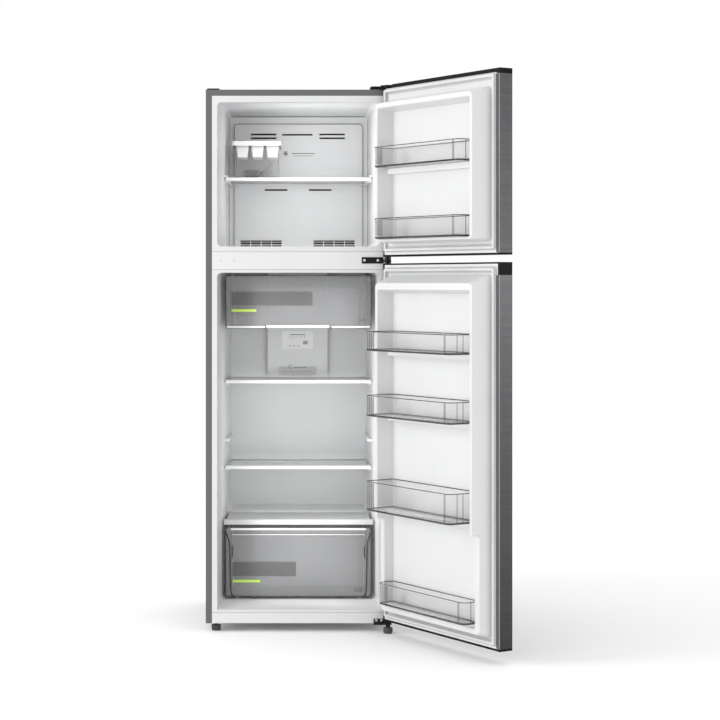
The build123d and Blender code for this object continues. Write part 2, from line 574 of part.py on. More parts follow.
def shelf(name, top, rear):
    """A glass plate in a plastic trim along its front and back."""
    with BuildPart() as glass:
        panel(Plane.XY.offset(top - 4 - GLASS), (-SHELF_HALF, SHELF_HALF), (SHELF_FRONT + 4, rear - 3), GLASS)
    write(glass, f"{name}_glass")
    with BuildPart() as trim:
        block((-SHELF_TRIM_HALF, SHELF_TRIM_HALF), (SHELF_FRONT, SHELF_FRONT + 14), (top - SHELF_TRIM, top))
        fillet(trim.edges().filter_by(Axis.X).group_by(Axis.Y)[0], 2.5)
        block((-SHELF_HALF, SHELF_HALF), (rear - 12, rear), (top - 9.5, top))
        block((-SHELF_HALF, SHELF_HALF), (SHELF_FRONT + 4, rear - 3), (top - 8, top - 4), mode=Mode.SUBTRACT)
        block((-SHELF_TRIM_HALF - 1, SHELF_TRIM_HALF + 1), (SHELF_FRONT + 9, SHELF_FRONT + 20),
              (top - SHELF_TRIM - 1, top - 8), mode=Mode.SUBTRACT)
        for side in (-1, 1):
            x = sorted((side * RAIL_HALF - side * 2, side * (SHELF_HALF + 1)))
            block(x, (rear - 13, rear + 1), (top - 20, top - 8), mode=Mode.SUBTRACT)
    write(trim, f"{name}_trim")


shelf("freezer_shelf", FREEZER_SHELF_TOP, FREEZER_SHELF_REAR)
shelf("upper_shelf", UPPER_SHELF_TOP, SHELF_REAR)
shelf("lower_shelf", LOWER_SHELF_TOP, SHELF_REAR)

with BuildPart() as crisper_lid:
    block((-LID_HALF, LID_HALF), (LID_FRONT, LID_FRONT + 12), (LID_TOP - LID_HIGH, LID_TOP))
    fillet(crisper_lid.edges().filter_by(Axis.X).group_by(Axis.Y)[0], 4)
    block((-234, 234), (LID_FRONT + 8, LID_REAR), (LID_TOP - 9, LID_TOP - 4))
    for side in (-1, 1):
        x = sorted((side * 222, side * 234))
        block(x, (LID_FRONT + 10, LID_REAR), (LID_TOP - LID_HIGH, LID_TOP - 3))
write(crisper_lid, "crisper_lid")

# =========================== drawers ===========================


def drawer(name, low, top, y0, y1, half, front_corner, front_thick):
    """A clear tub behind a wider front plate."""
    with BuildPart() as tub:
        block((-DRAWER_BODY_HALF, DRAWER_BODY_HALF), (y0 + front_thick, y1), (low, top - 4))
        fillet(tub.edges().filter_by(Axis.Z).group_by(Axis.Y)[-1], 12)
        block(
            (-DRAWER_BODY_HALF + DRAWER_WALL, DRAWER_BODY_HALF - DRAWER_WALL),
            (y0 + front_thick - 1, y1 - DRAWER_WALL), (low + DRAWER_WALL, top + 1), mode=Mode.SUBTRACT,
        )
        panel(front(y0 + front_thick), (-half, half), (low, top), front_thick, corner=front_corner)
        if name == "chiller_drawer":
            for side in (-1, 1):
                x = sorted((side * (DRAWER_BODY_HALF - 1), side * 231))
                block(x, (y0 + front_thick + 2, y1), (top - 10, top - 7.5))
            panel(front(y0 + 2), (-half, half), (low - 4, low + 5), 3)
            prism(front(y0 + 2), [(-104, low - 4), (-96, low + 8), (92, low + 8), (100, low - 4)], 6)
        else:
            panel(front(y0 + 2), (-half + 8, half - 8), (top - 22, top - 4), 4, corner=4)
            for side in (-1, 1):
                rib = [(side * 225, low + 8), (side * 231, low + 60), (side * 231, top - 90),
                       (side * 237, top - 40), (side * 234, top - 40), (side * 227, top - 90),
                       (side * 227, low + 60), (side * 221, low + 8)]
                prism(front(y0 + 1), rib, 3)
                slit = sorted((side * 219, side * 222))
                panel(front(y0 + 1), slit, (top - 105, top - 52), 3)
    write(tub, name)


drawer("chiller_drawer", *CHILLER, 236.5, 3, 3.5)
drawer("crisper_drawer", *CRISPER, DRAWER_HALF, 10, 4)

# The ice maker: a clear bin, a tray of cups that sits on its rim and a scoop in the bin.
ICE_X, ICE_Y, ICE_TOP = (-211.0, -61.0), (182.0, 360.0), 1571.0
TRAY_RIM = (1573.7, 1588.5)
CUP_PITCH, CUP_TOP, CUP_DEEP = 50.0, 47.0, 36.0
with BuildPart() as ice_bin:
    ice_low = FREEZER_SHELF_TOP + GAP
    high = ICE_TOP - ice_low
    foot_x, foot_y = (ICE_X[0] + 3, ICE_X[1] - 3), (ICE_Y[0] + 3, ICE_Y[1] - 3)
    inside_x, inside_y = (ICE_X[0] + 5.2, ICE_X[1] - 5.2), (ICE_Y[0] + 5.2, ICE_Y[1] - 5.2)
    panel(Plane.XY.offset(ice_low), foot_x, foot_y, high, corner=12, taper=-1.5)
    panel(Plane.XY.offset(ice_low + 2), inside_x, inside_y, high, Mode.SUBTRACT, corner=10, taper=-1.5)
write(ice_bin, "ice_bin")

ICE_MID_X = (ICE_X[0] + ICE_X[1]) / 2
CUP_ROWS = (ICE_Y[0] + 36, ICE_Y[0] + 36 + CUP_PITCH, ICE_Y[0] + 36 + 2 * CUP_PITCH)
cup_spots = [(ICE_MID_X + column * CUP_PITCH, y) for column in (-1, 0, 1) for y in CUP_ROWS]


def cup(z, spot, half, depth, corner, mode=Mode.ADD):
    """A square cup's outside or inside, narrowing as it goes down from a height."""
    x, y = spot
    panel(Plane.XY.offset(z), (x - half, x + half), (y - half, y + half), -depth, mode, corner, taper=9)


with BuildPart() as ice_tray:
    rim_low, rim_high = TRAY_RIM
    skirt_x, skirt_y = (-220.5, -57.5), (ICE_Y[0] - 4, ICE_Y[1] + 4)
    under_x, under_y = (-218.5, -59.5), (ICE_Y[0] - 2, ICE_Y[1] + 2)
    panel(Plane.XY.offset(rim_low), skirt_x, skirt_y, rim_high - rim_low, corner=10)
    panel(Plane.XY.offset(rim_low - 1), under_x, under_y, 11.8, Mode.SUBTRACT, corner=8)
    for spot in cup_spots:
        cup(rim_high - 4, spot, CUP_TOP / 2, CUP_DEEP + 12, 8)
    for spot in cup_spots:
        cup(rim_high + 0.5, spot, CUP_TOP / 2 - 2, CUP_DEEP + 13.5, 7, Mode.SUBTRACT)
write(ice_tray, "ice_tray")

SCOOP_AT, SCOOP_LEAN = (-156.0, 262.0, FREEZER_SHELF_TOP + 18.0), 40
with BuildPart() as ice_scoop:
    with Locations(Location(SCOOP_AT)):
        Box(48, 46, 28)
        with Locations(Location((-3, 0, 3))):
            Box(50, 42, 28, mode=Mode.SUBTRACT)
    handle_plane = Plane(origin=(SCOOP_AT[0] + 44, SCOOP_AT[1] + 2, SCOOP_AT[2] + 14),
                         x_dir=(cos(radians(SCOOP_LEAN)), 0, sin(radians(SCOOP_LEAN))), z_dir=(0, -1, 0))
    with BuildSketch(handle_plane) as handle:
        SlotOverall(66, 10)
    extrude(handle.sketch, amount=4)
write(ice_scoop, "ice_scoop")

# =========================== doors ===========================
# Both doors share one frame: u runs from the hinge edge to the free edge, v from the inner face
# into the cabinet when the door is shut. The planes below stand at the open angle.

hinge_line = Vector(HINGE_X, HINGE_Y, 0)
U = Vector(-cos(radians(DOOR_ANGLE)), -sin(radians(DOOR_ANGLE)), 0)
INWARD = Vector(-sin(radians(DOOR_ANGLE)), cos(radians(DOOR_ANGLE)), 0)
door_corner = hinge_line - U * EDGE_PAST_HINGE + INWARD * DOOR_BEHIND_HINGE


def at_depth(v):
    """The plane v millimetres inside the door's inner face, with local x = u and local y = height."""
    return Plane(origin=door_corner + INWARD * v, x_dir=U, z_dir=INWARD)


def at_height(z):
    """A level plane with local x = u and local y = -v."""
    return Plane(origin=door_corner + Vector(0, 0, z), x_dir=U, z_dir=(0, 0, 1))


HINGE_SPOT = (EDGE_PAST_HINGE, DOOR_BEHIND_HINGE)


def frustum(foot_v, top_v, foot, top, corner, mode=Mode.ADD):
    """A block with sloping sides between two rounded rectangles, each given as its u and z ranges."""
    faces = []
    for v, (us, zs) in ((foot_v, foot), (top_v, top)):
        with BuildSketch(at_depth(v)) as outline:
            with Locations(((us[0] + us[1]) / 2, (zs[0] + zs[1]) / 2)):
                RectangleRounded(us[1] - us[0], zs[1] - zs[0], corner)
        faces.append(outline.sketch.faces()[0])
    loft(faces, mode=mode)


def rim_edges(part, v):
    """The edges of a part that lie at one depth from the door's inner face."""
    return part.edges().filter_by(
        lambda e: all(abs((e.position_at(t) - door_corner).dot(INWARD) - v) < 0.05 for t in (0, 0.5, 1))
    )


def dike(shape, grow, low_part):
    """The raised ring of a door's liner with its sloping flanks and its recess."""
    low, high, low_slope, high_slope, recess_low, recess_high = shape
    top, floor = DIKE_HIGH + grow, RECESS_FLOOR + grow
    edge = DIKE_IN + DIKE_WIDE + grow
    lean = (top - floor) * tan(radians(DIKE_SLOPE))

    def outside(v):
        u = DIKE_IN + v * tan(radians(DIKE_SLOPE)) - grow
        z = low + v * tan(radians(low_slope)) - grow, high - v * tan(radians(high_slope)) + grow
        return (u, DOOR_WIDTH - u), z

    def inside(narrower):
        u = edge + narrower
        return (u, DOOR_WIDTH - u), (recess_low + grow, recess_high - narrower - grow)

    with BuildPart() as ring:
        frustum(0, top, outside(0), outside(top), DIKE_CORNER + grow)
        frustum(floor, top + 0.01, inside(lean), inside(0), RECESS_CORNER - grow, mode=Mode.SUBTRACT)
        fillet(rim_edges(ring, top), DIKE_ROUND + grow)
        if low_part:
            cut = (0, DOOR_WIDTH), (0, LOW_DIKE_TOP + grow)
            panel(at_depth(LOW_DIKE_HIGH + grow), *cut, DIKE_HIGH, mode=Mode.SUBTRACT)
    return ring.part


def recess_ribs(bins, lowest):
    """Ledges across the recess, one under each bin."""
    across = (RIB_END, DOOR_WIDTH - RIB_END)
    with BuildPart() as ribs:
        for low, *_ in bins.values():
            height = (max(low - RIB_TALL, lowest), low - BIN_LIFT_GAP)
            panel(at_depth(RECESS_FLOOR - 1), across, height, RIB_DEEP)
    return ribs.part


def door(name, z, shape, bins, cap_low, cap_high, low_part, bush_ends):
    """The shells, foam, gasket and end caps of one door."""
    low, high = z[0] + cap_low, z[1] - cap_high
    with BuildPart() as skin:
        panel(at_depth(-DOOR_THICK), (0, DOOR_WIDTH), (low, high), DOOR_THICK)
        hollow = (SHEET, DOOR_WIDTH - SHEET), (low, high)
        panel(at_depth(-DOOR_THICK + SHEET), *hollow, DOOR_THICK - 2 * SHEET, mode=Mode.SUBTRACT)
        panel(at_depth(-1), (SKIN_RETURN, DOOR_WIDTH - SKIN_RETURN), (low, high), 5, mode=Mode.SUBTRACT)
    write(skin, f"{name}_door_skin")

    ring = dike(shape, 0.0, low_part)
    core = dike(shape, -SKIN, low_part)
    ribs = recess_ribs(bins, shape[0] + RIB_CLEAR)
    edge = DIKE_IN + SKIN
    under_ring = (edge, DOOR_WIDTH - edge), (shape[0] + SKIN, shape[1] - SKIN)
    liner_top = z[1] - 5 if name == "fridge" else high
    with BuildPart() as liner:
        panel(at_depth(-2), (SKIN_RETURN, DOOR_WIDTH - SKIN_RETURN), (low, liner_top), 2)
        add(ring)
        add(ribs)
        add(core, mode=Mode.SUBTRACT)
        panel(at_depth(-2), *under_ring, 2, mode=Mode.SUBTRACT, corner=DIKE_CORNER - SKIN)
    write(liner, f"{name}_door_liner")

    with BuildPart() as foam:
        panel(at_depth(-DOOR_THICK + SHEET), (SHEET, DOOR_WIDTH - SHEET), (low, high), DOOR_THICK - SHEET - 2)
        panel(at_depth(-2), *under_ring, 2, corner=DIKE_CORNER - SKIN)
        add(core)
        for end in bush_ends:
            rod(at_height(end), BUSH_R, 32, at=HINGE_SPOT, mode=Mode.SUBTRACT)
    write(foam, f"{name}_door_foam")

    with BuildPart() as gasket:
        g = GASKET_IN
        panel(at_depth(0), (g, DOOR_WIDTH - g), (z[0] + g, z[1] - g), GASKET_HIGH)
        g = GASKET_IN + GASKET_WIDE
        panel(at_depth(-1), (g, DOOR_WIDTH - g), (z[0] + g, z[1] - g), 20, mode=Mode.SUBTRACT)
        chamfer(gasket.faces().filter_by(lambda f: abs(f.normal_at().dot(INWARD) - 1) < 1e-6).edges(), 3)
    write(gasket, f"{name}_door_gasket")


# The heights of each door's end caps, low and high, and the depth of the freezer door's upper bush.
FREEZER_CAPS, FRIDGE_CAPS, TOP_BUSH_LOW = (6.0, 16.0), (7.0, 38.0), 48.0
freezer_bushes = (FREEZER_DOOR[0] + FREEZER_CAPS[0], FREEZER_DOOR[1] - TOP_BUSH_LOW)
fridge_bushes = (FRIDGE_DOOR[0] + FRIDGE_CAPS[0],)
door("freezer", FREEZER_DOOR, FREEZER_DIKE, FREEZER_BINS, *FREEZER_CAPS, False, freezer_bushes)
door("fridge", FRIDGE_DOOR, FRIDGE_DIKE, FRIDGE_BINS, *FRIDGE_CAPS, True, fridge_bushes)


def bush_hole(z, depth):
    rod(at_height(z), PIN_R + PIN_PLAY, depth, at=HINGE_SPOT, mode=Mode.SUBTRACT)


with BuildPart() as freezer_door_top_cap:
    z = FREEZER_DOOR[1] - FREEZER_CAPS[1]
    panel(at_depth(-DOOR_THICK), (0, DOOR_WIDTH), (z, FREEZER_DOOR[1]), DOOR_THICK)
    fillet(freezer_door_top_cap.edges().filter_by(lambda e: abs(e.center().Z - FREEZER_DOOR[1]) < 0.1), 2.5)
    rod(at_height(CASE_TOP - 0.5), 38, 30, at=HINGE_SPOT, mode=Mode.SUBTRACT)
    rod(at_height(z - 22), BUSH_R, 23, at=HINGE_SPOT)
    bush_hole(z - 22, 60)
write(freezer_door_top_cap, "freezer_door_top_cap")

with BuildPart() as freezer_door_bottom_cap:
    z = FREEZER_DOOR[0]
    panel(at_depth(-DOOR_THICK), (0, DOOR_WIDTH), (z, z + FREEZER_CAPS[0]), DOOR_THICK)
    rod(at_height(z + 5), BUSH_R, 22, at=HINGE_SPOT)
    bush_hole(z - 1, 60)
write(freezer_door_bottom_cap, "freezer_door_bottom_cap")

with BuildPart() as fridge_door_top_cap:
    z = FRIDGE_DOOR[1] - FRIDGE_CAPS[1]
    panel(at_depth(-DOOR_THICK), (0, DOOR_WIDTH), (z, FRIDGE_DOOR[1]), DOOR_THICK - 2.2)
    panel(at_depth(-3), (0, DOOR_WIDTH), (FRIDGE_DOOR[1] - 5, FRIDGE_DOOR[1]), 3)
    for u in (0, DOOR_WIDTH - 9):
        panel(at_depth(-3), (u, u + 9), (z, FRIDGE_DOOR[1]), 3)
    panel(at_depth(-DOOR_THICK + 14), (90, DOOR_WIDTH - 25), (FRIDGE_DOOR[1] - 26, FRIDGE_DOOR[1] + 1), 22,
          mode=Mode.SUBTRACT)
    panel(at_depth(-DOOR_THICK - 1), (90, DOOR_WIDTH - 25), (FRIDGE_DOOR[1] - 7, FRIDGE_DOOR[1] + 1), 16,
          mode=Mode.SUBTRACT)
    bush_hole(z - 1, 60)
write(fridge_door_top_cap, "fridge_door_top_cap")

with BuildPart() as fridge_door_bottom_cap:
    z = FRIDGE_DOOR[0]
    panel(at_depth(-DOOR_THICK), (0, DOOR_WIDTH), (z, z + FRIDGE_CAPS[0]), DOOR_THICK)
    rod(at_height(z + 6), BUSH_R, 24, at=HINGE_SPOT)
    bush_hole(z - 1, 60)
write(fridge_door_bottom_cap, "fridge_door_bottom_cap")


def door_bin(name, low, height, front_v):
    """A clear bin with clipped front corners and a thick rim round its floor."""
    w0, w1 = -BIN_REAR, -front_v
    cut = 14.0
    u0, u1 = BIN_START, BIN_END
    outline = [(u0, w0), (u1, w0), (u1 - 3, w1 + cut), (u1 - cut, w1), (u0 + cut, w1), (u0 + 3, w1 + cut)]
    t = BIN_WALL
    inner = [(u0 + t, w0 - t), (u1 - t, w0 - t), (u1 - t - 3, w1 + cut), (u1 - cut - t / 2, w1 + t),
             (u0 + cut + t / 2, w1 + t), (u0 + t + 3, w1 + cut)]
    with BuildPart() as tub:
        prism(at_height(low), outline, height)
        prism(at_height(low + 3), inner, height, mode=Mode.SUBTRACT)
        dip = (low + height * 0.55, low + height + 1)  # the back wall is lower than the front
        panel(at_depth(BIN_REAR - 1), (u0 - 1, u1 + 1), dip, t + 2, mode=Mode.SUBTRACT)
    write(tub, name)


for place, size in FREEZER_BINS.items():
    door_bin(f"freezer_{place}_bin", *size)
for place, size in FRIDGE_BINS.items():
    door_bin(f"fridge_{place}_bin", *size)
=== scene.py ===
import bmesh
import bpy
import json
import math
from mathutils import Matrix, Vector


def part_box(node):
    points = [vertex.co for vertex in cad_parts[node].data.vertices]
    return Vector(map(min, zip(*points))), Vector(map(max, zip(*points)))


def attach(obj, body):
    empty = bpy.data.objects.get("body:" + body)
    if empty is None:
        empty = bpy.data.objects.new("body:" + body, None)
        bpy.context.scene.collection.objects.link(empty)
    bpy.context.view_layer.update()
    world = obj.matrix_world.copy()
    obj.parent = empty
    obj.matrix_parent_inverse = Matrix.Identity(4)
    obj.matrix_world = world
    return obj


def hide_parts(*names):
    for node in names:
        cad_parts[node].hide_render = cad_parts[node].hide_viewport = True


# A refrigerator with a freezer on top, seen from the front with both doors open. Metres.

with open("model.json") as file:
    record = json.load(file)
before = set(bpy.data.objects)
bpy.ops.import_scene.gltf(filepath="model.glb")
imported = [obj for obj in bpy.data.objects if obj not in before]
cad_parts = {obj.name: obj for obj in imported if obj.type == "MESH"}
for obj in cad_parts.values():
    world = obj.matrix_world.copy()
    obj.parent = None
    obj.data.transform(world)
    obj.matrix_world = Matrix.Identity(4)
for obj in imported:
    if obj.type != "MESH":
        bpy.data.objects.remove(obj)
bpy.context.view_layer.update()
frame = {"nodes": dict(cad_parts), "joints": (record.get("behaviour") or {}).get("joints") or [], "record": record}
nodes = frame["nodes"]
MM = 0.001


# =========================== camera and light ===========================

CAMERA_PLACE = (0, -5.857, 1.1256)
CAMERA_LENS, CAMERA_SENSOR = 91.25, 36
CAMERA_SHIFT = (0.0855, -0.1097)
CAMERA_REACH = 60

GLOW_WIDE, GLOW_MARGIN = 0.34, 0.12
GLOW_PLACE, GLOW_AIM = (0.025, 0.012), (0.05, 0.4)

FLOOR_HALF, FLOOR_GLOW = 30.0, 0.05


def make_camera():
    data = bpy.data.cameras.new("camera")
    data.lens = CAMERA_LENS
    data.sensor_width = CAMERA_SENSOR
    data.shift_x, data.shift_y = CAMERA_SHIFT
    data.clip_end = CAMERA_REACH
    camera = bpy.data.objects.new("camera", data)
    camera.location = CAMERA_PLACE
    camera.rotation_euler = (math.radians(90), 0, 0)
    bpy.context.scene.collection.objects.link(camera)
    bpy.context.scene.camera = camera


def area_light(name, place, target, size, power):
    """A soft light of a width and height, which the camera doesn't see."""
    data = bpy.data.lights.new(name, "AREA")
    data.shape = "RECTANGLE"
    data.size, data.size_y = size
    data.energy = power
    lamp = bpy.data.objects.new(name, data)
    lamp.location = place
    aim = Vector(target) - Vector(place)
    lamp.rotation_euler = aim.to_track_quat("-Z", "Y").to_euler()
    lamp.visible_camera = False
    bpy.context.scene.collection.objects.link(lamp)


def mouth_light(room, power):
    """A soft glow just inside a compartment's mouth, turned a little to the right."""
    low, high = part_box(room)
    middle = (low.z + high.z) / 2
    size = (GLOW_WIDE, high.z - low.z - GLOW_MARGIN)
    area_light(room + "_glow", (*GLOW_PLACE, middle), (*GLOW_AIM, middle), size, power)


def make_studio():
    bpy.context.scene.view_settings.view_transform = "Standard"
    world = bpy.data.worlds.new("studio")
    bpy.context.scene.world = world
    world.use_nodes = True
    background = world.node_tree.nodes["Background"]
    background.inputs["Color"].default_value = (1.0, 1.0, 1.0, 1)
    background.inputs["Strength"].default_value = 1.0
    area_light("key_light", place=(-3.6, -1.2, 1.7), target=(0.4, -0.25, 0.9), size=(1.5, 1.5), power=58)
    area_light("side_light", place=(3.6, -2.3, 1.3), target=(0.6, -0.5, 1.1), size=(0.8, 0.8), power=3)
    mouth_light("freezer_liner", power=0.8)
    mouth_light("fridge_liner", power=1.25)


def make_floor():
    bm = bmesh.new()
    signs = ((-1, -1), (1, -1), (1, 1), (-1, 1))
    corners = [bm.verts.new((a * FLOOR_HALF, b * FLOOR_HALF, 0)) for a, b in signs]
    bm.faces.new(corners)
    mesh = bpy.data.meshes.new("studio_floor")
    bm.to_mesh(mesh)
    bm.free()
    floor = bpy.data.objects.new("studio_floor", mesh)
    bpy.context.scene.collection.objects.link(floor)
    paint = grained("floor_paint", (0.99, 0.99, 0.99), (0.98, 0.98, 0.98), 0.8, 3, 0, 0)
    shader = paint.node_tree.nodes["Principled BSDF"]
    shader.inputs["Emission Color"].default_value = (1, 1, 1, 1)
    shader.inputs["Emission Strength"].default_value = FLOOR_GLOW
    mesh.materials.append(paint)


# =========================== materials ===========================

NOISE_LOW, NOISE_HIGH = 0.3, 0.7  # where most of a noise texture's values lie
CLOUD_SCALE, GLASS_CLOUD_SCALE = 6.0, 7.0
GLASS_GRAIN_SCALE, GLASS_GRAIN_DEPTH = 90.0, 0.00012
BRUSH_STRETCH, STREAK_STRETCH = (5, 5, 1400), (2.5, 2.5, 160)
# Painted reflection on the door steel: levels by height that scale its colour.
PAINTED_REFLECTION_TOP = 1.75
PAINTED_REFLECTION_LEVELS = ((0.0, 0.46), (0.45, 1.20), (0.66, 1.85), (0.70, 1.42), (1.0, 1.08))  # share of the height, level
DULL_SPECULAR = 0.10


def blank(name):
    material = bpy.data.materials.new(name)
    material.use_nodes = True
    tree = material.node_tree
    shader = tree.nodes["Principled BSDF"]
    return material, tree, shader


def coordinates(tree, stretch=(1, 1, 1)):
    place = tree.nodes.new("ShaderNodeTexCoord")
    mapping = tree.nodes.new("ShaderNodeMapping")
    mapping.inputs["Scale"].default_value = stretch
    tree.links.new(place.outputs["Object"], mapping.inputs["Vector"])
    return mapping.outputs["Vector"]


def noise(tree, scale, stretch=(1, 1, 1), detail=3.0):
    texture = tree.nodes.new("ShaderNodeTexNoise")
    texture.inputs["Scale"].default_value = scale
    texture.inputs["Detail"].default_value = detail
    tree.links.new(coordinates(tree, stretch), texture.inputs["Vector"])
    return texture.outputs["Fac"]


def spread(tree, value, low, high):
    """A value that is about 0.5, turned into one from low to high."""
    reach = tree.nodes.new("ShaderNodeMapRange")
    reach.inputs["From Min"].default_value = NOISE_LOW
    reach.inputs["From Max"].default_value = NOISE_HIGH
    reach.inputs["To Min"].default_value = low
    reach.inputs["To Max"].default_value = high
    tree.links.new(value, reach.inputs["Value"])
    return reach.outputs["Result"]


def tint(tree, factor, low, high):
    mix = tree.nodes.new("ShaderNodeMix")
    mix.data_type = "RGBA"
    mix.inputs["A"].default_value = (*low, 1)
    mix.inputs["B"].default_value = (*high, 1)
    tree.links.new(factor, mix.inputs["Factor"])
    return mix.outputs["Result"]


def bump(tree, shader, height, distance):
    node = tree.nodes.new("ShaderNodeBump")
    node.inputs["Strength"].default_value = 1.0
    node.inputs["Distance"].default_value = distance
    tree.links.new(height, node.inputs["Height"])
    tree.links.new(node.outputs["Normal"], shader.inputs["Normal"])


def grained(name, light, dark, rough, scale, depth, metal):
    """An opaque finish: slow colour clouds, varied roughness and a fine grain of a given depth."""
    material, tree, shader = blank(name)
    slow = noise(tree, CLOUD_SCALE)
    fine = noise(tree, scale)
    tree.links.new(tint(tree, spread(tree, slow, 0, 1), light, dark), shader.inputs["Base Color"])
    roughest = min(1.0, rough * 1.12)
    tree.links.new(spread(tree, fine, rough * 0.88, roughest), shader.inputs["Roughness"])
    shader.inputs["Metallic"].default_value = metal
    if depth:
        bump(tree, shader, fine, depth)
    return material


def painted_reflection_by_height(tree):
    """Painted reflection on the steel by height: palest at the fridge door's top, darkest towards the floor."""
    split = tree.nodes.new("ShaderNodeSeparateXYZ")
    tree.links.new(coordinates(tree), split.inputs["Vector"])
    reach = tree.nodes.new("ShaderNodeMapRange")
    reach.inputs["From Max"].default_value = PAINTED_REFLECTION_TOP
    tree.links.new(split.outputs["Z"], reach.inputs["Value"])
    ramp = tree.nodes.new("ShaderNodeValToRGB")
    bands = ramp.color_ramp.elements
    bands[0].position, bands[1].position = PAINTED_REFLECTION_LEVELS[0][0], PAINTED_REFLECTION_LEVELS[-1][0]
    for place, _ in PAINTED_REFLECTION_LEVELS[1:-1]:
        bands.new(place)
    for band, (_, level) in zip(bands, PAINTED_REFLECTION_LEVELS):
        band.color = (level, level, level, 1)
    tree.links.new(reach.outputs["Result"], ramp.inputs["Fac"])
    return ramp.outputs["Color"]


def brushed(name, light, dark, rough):
    """Steel brushed along the door's width, under a thin clear film, with a painted reflection by height
    multiplied into its colour.
    """
    material, tree, shader = blank(name)
    lines = noise(tree, 1.0, BRUSH_STRETCH, 4.0)
    streaks = noise(tree, 1.0, STREAK_STRETCH)
    painted_reflection_mix = tree.nodes.new("ShaderNodeMix")
    painted_reflection_mix.data_type = "RGBA"
    painted_reflection_mix.blend_type = "MULTIPLY"
    painted_reflection_mix.inputs["Factor"].default_value = 1.0
    tree.links.new(tint(tree, spread(tree, streaks, 0, 1), light, dark), painted_reflection_mix.inputs["A"])
    tree.links.new(painted_reflection_by_height(tree), painted_reflection_mix.inputs["B"])
    tree.links.new(painted_reflection_mix.outputs["Result"], shader.inputs["Base Color"])
    tree.links.new(spread(tree, lines, rough * 0.75, rough * 1.25), shader.inputs["Roughness"])
    shader.inputs["Metallic"].default_value = 0.85
    shader.inputs["Coat Weight"].default_value = 0.15
    bump(tree, shader, lines, 0.00006)
    return material


def spangled(name, light, dark):
    """Zinc-coated steel with its crystals."""
    material, tree, shader = blank(name)
    cells = tree.nodes.new("ShaderNodeTexVoronoi")
    cells.inputs["Scale"].default_value = 70
    tree.links.new(coordinates(tree), cells.inputs["Vector"])
    grey = tree.nodes.new("ShaderNodeRGBToBW")
    tree.links.new(cells.outputs["Color"], grey.inputs["Color"])
    tree.links.new(tint(tree, grey.outputs["Val"], light, dark), shader.inputs["Base Color"])
    tree.links.new(spread(tree, grey.outputs["Val"], 0.38, 0.5), shader.inputs["Roughness"])
    shader.inputs["Metallic"].default_value = 0.8
    bump(tree, shader, noise(tree, 300), 0.00005)
    return material


def see_through(name, light, dark, face_on, edge_on, rough=0.06, power=2.2):
    """Thin clear plastic or glass: clear face on and denser where it is seen edge on."""
    material, tree, shader = blank(name)
    slow = noise(tree, GLASS_CLOUD_SCALE)
    tree.links.new(tint(tree, spread(tree, slow, 0, 1), light, dark), shader.inputs["Base Color"])
    weight = tree.nodes.new("ShaderNodeLayerWeight")
    weight.inputs["Blend"].default_value = 0.35
    curve = tree.nodes.new("ShaderNodeMath")
    curve.operation = "POWER"
    curve.inputs[1].default_value = power
    tree.links.new(weight.outputs["Facing"], curve.inputs[0])
    reach = tree.nodes.new("ShaderNodeMapRange")
    reach.inputs["To Min"].default_value = face_on
    reach.inputs["To Max"].default_value = edge_on
    tree.links.new(curve.outputs["Value"], reach.inputs["Value"])
    tree.links.new(reach.outputs["Result"], shader.inputs["Alpha"])
    fine = noise(tree, GLASS_GRAIN_SCALE)
    tree.links.new(spread(tree, fine, rough * 0.7, rough * 1.3), shader.inputs["Roughness"])
    bump(tree, shader, fine, GLASS_GRAIN_DEPTH)
    return material


def make_finishes():
    made = {
        "case_grey": grained(
            "case_paint", (0.124, 0.126, 0.129), (0.119, 0.121, 0.124), 0.42, 900, 0.00004, 0.0),
        "galvanised_steel": spangled("zinc_steel", (0.58, 0.59, 0.60), (0.42, 0.43, 0.44)),
        "foam": grained("blown_foam", (0.80, 0.72, 0.46), (0.68, 0.58, 0.34), 0.9, 260, 0.0008, 0.0),
        "white_liner": grained(
            "liner_abs", (0.735, 0.738, 0.742), (0.71, 0.714, 0.72), 0.34, 420, 0.00005, 0.0),
        "white_trim": grained(
            "trim_white", (0.76, 0.763, 0.767), (0.73, 0.734, 0.74), 0.38, 500, 0.00004, 0.0),
        "black_steel": grained(
            "black_steel", (0.014, 0.014, 0.015), (0.022, 0.022, 0.023), 0.5, 700, 0.00006, 0.0),
        "black_plastic": grained(
            "black_plastic", (0.007, 0.007, 0.008), (0.012, 0.012, 0.013), 0.55, 800, 0.00007, 0.0),
        "screw_steel": grained(
            "screw_zinc", (0.72, 0.72, 0.73), (0.58, 0.58, 0.6), 0.28, 900, 0.00003, 1.0),
        "black_rubber": grained(
            "black_rubber", (0.02, 0.02, 0.02), (0.04, 0.04, 0.04), 0.75, 600, 0.0001, 0.0),
        "coil_metal": grained(
            "coil_metal", (0.66, 0.67, 0.68), (0.52, 0.53, 0.54), 0.35, 400, 0.00006, 0.9),
        "foot_plastic": grained(
            "foot_plastic", (0.075, 0.075, 0.078), (0.11, 0.11, 0.113), 0.6, 700, 0.00009, 0.0),
        "grey_plastic": grained(
            "grey_plastic", (0.36, 0.36, 0.37), (0.42, 0.42, 0.43), 0.4, 700, 0.00005, 0.0),
        "clear_plastic": see_through(
            "clear_plastic", (0.74, 0.745, 0.75), (0.66, 0.665, 0.67), 0.045, 0.85, power=2.6),
        "smoky_plastic": see_through(
            "smoky_plastic", (0.40, 0.404, 0.41), (0.35, 0.354, 0.36), 0.34, 0.90),
        "shelf_glass": see_through(
            "shelf_glass", (0.70, 0.73, 0.72), (0.62, 0.66, 0.65), 0.20, 0.62, rough=0.04),
        "brushed_steel": brushed("door_steel", (0.105, 0.106, 0.11), (0.085, 0.086, 0.09), 0.42),
        "white_gasket": grained(
            "gasket_vinyl", (0.70, 0.70, 0.71), (0.62, 0.62, 0.63), 0.55, 500, 0.00008, 0.0),
    }
    for dull in ("black_steel", "black_plastic", "foot_plastic", "black_rubber"):
        shader = made[dull].node_tree.nodes["Principled BSDF"]
        shader.inputs["Specular IOR Level"].default_value = DULL_SPECULAR
    return made


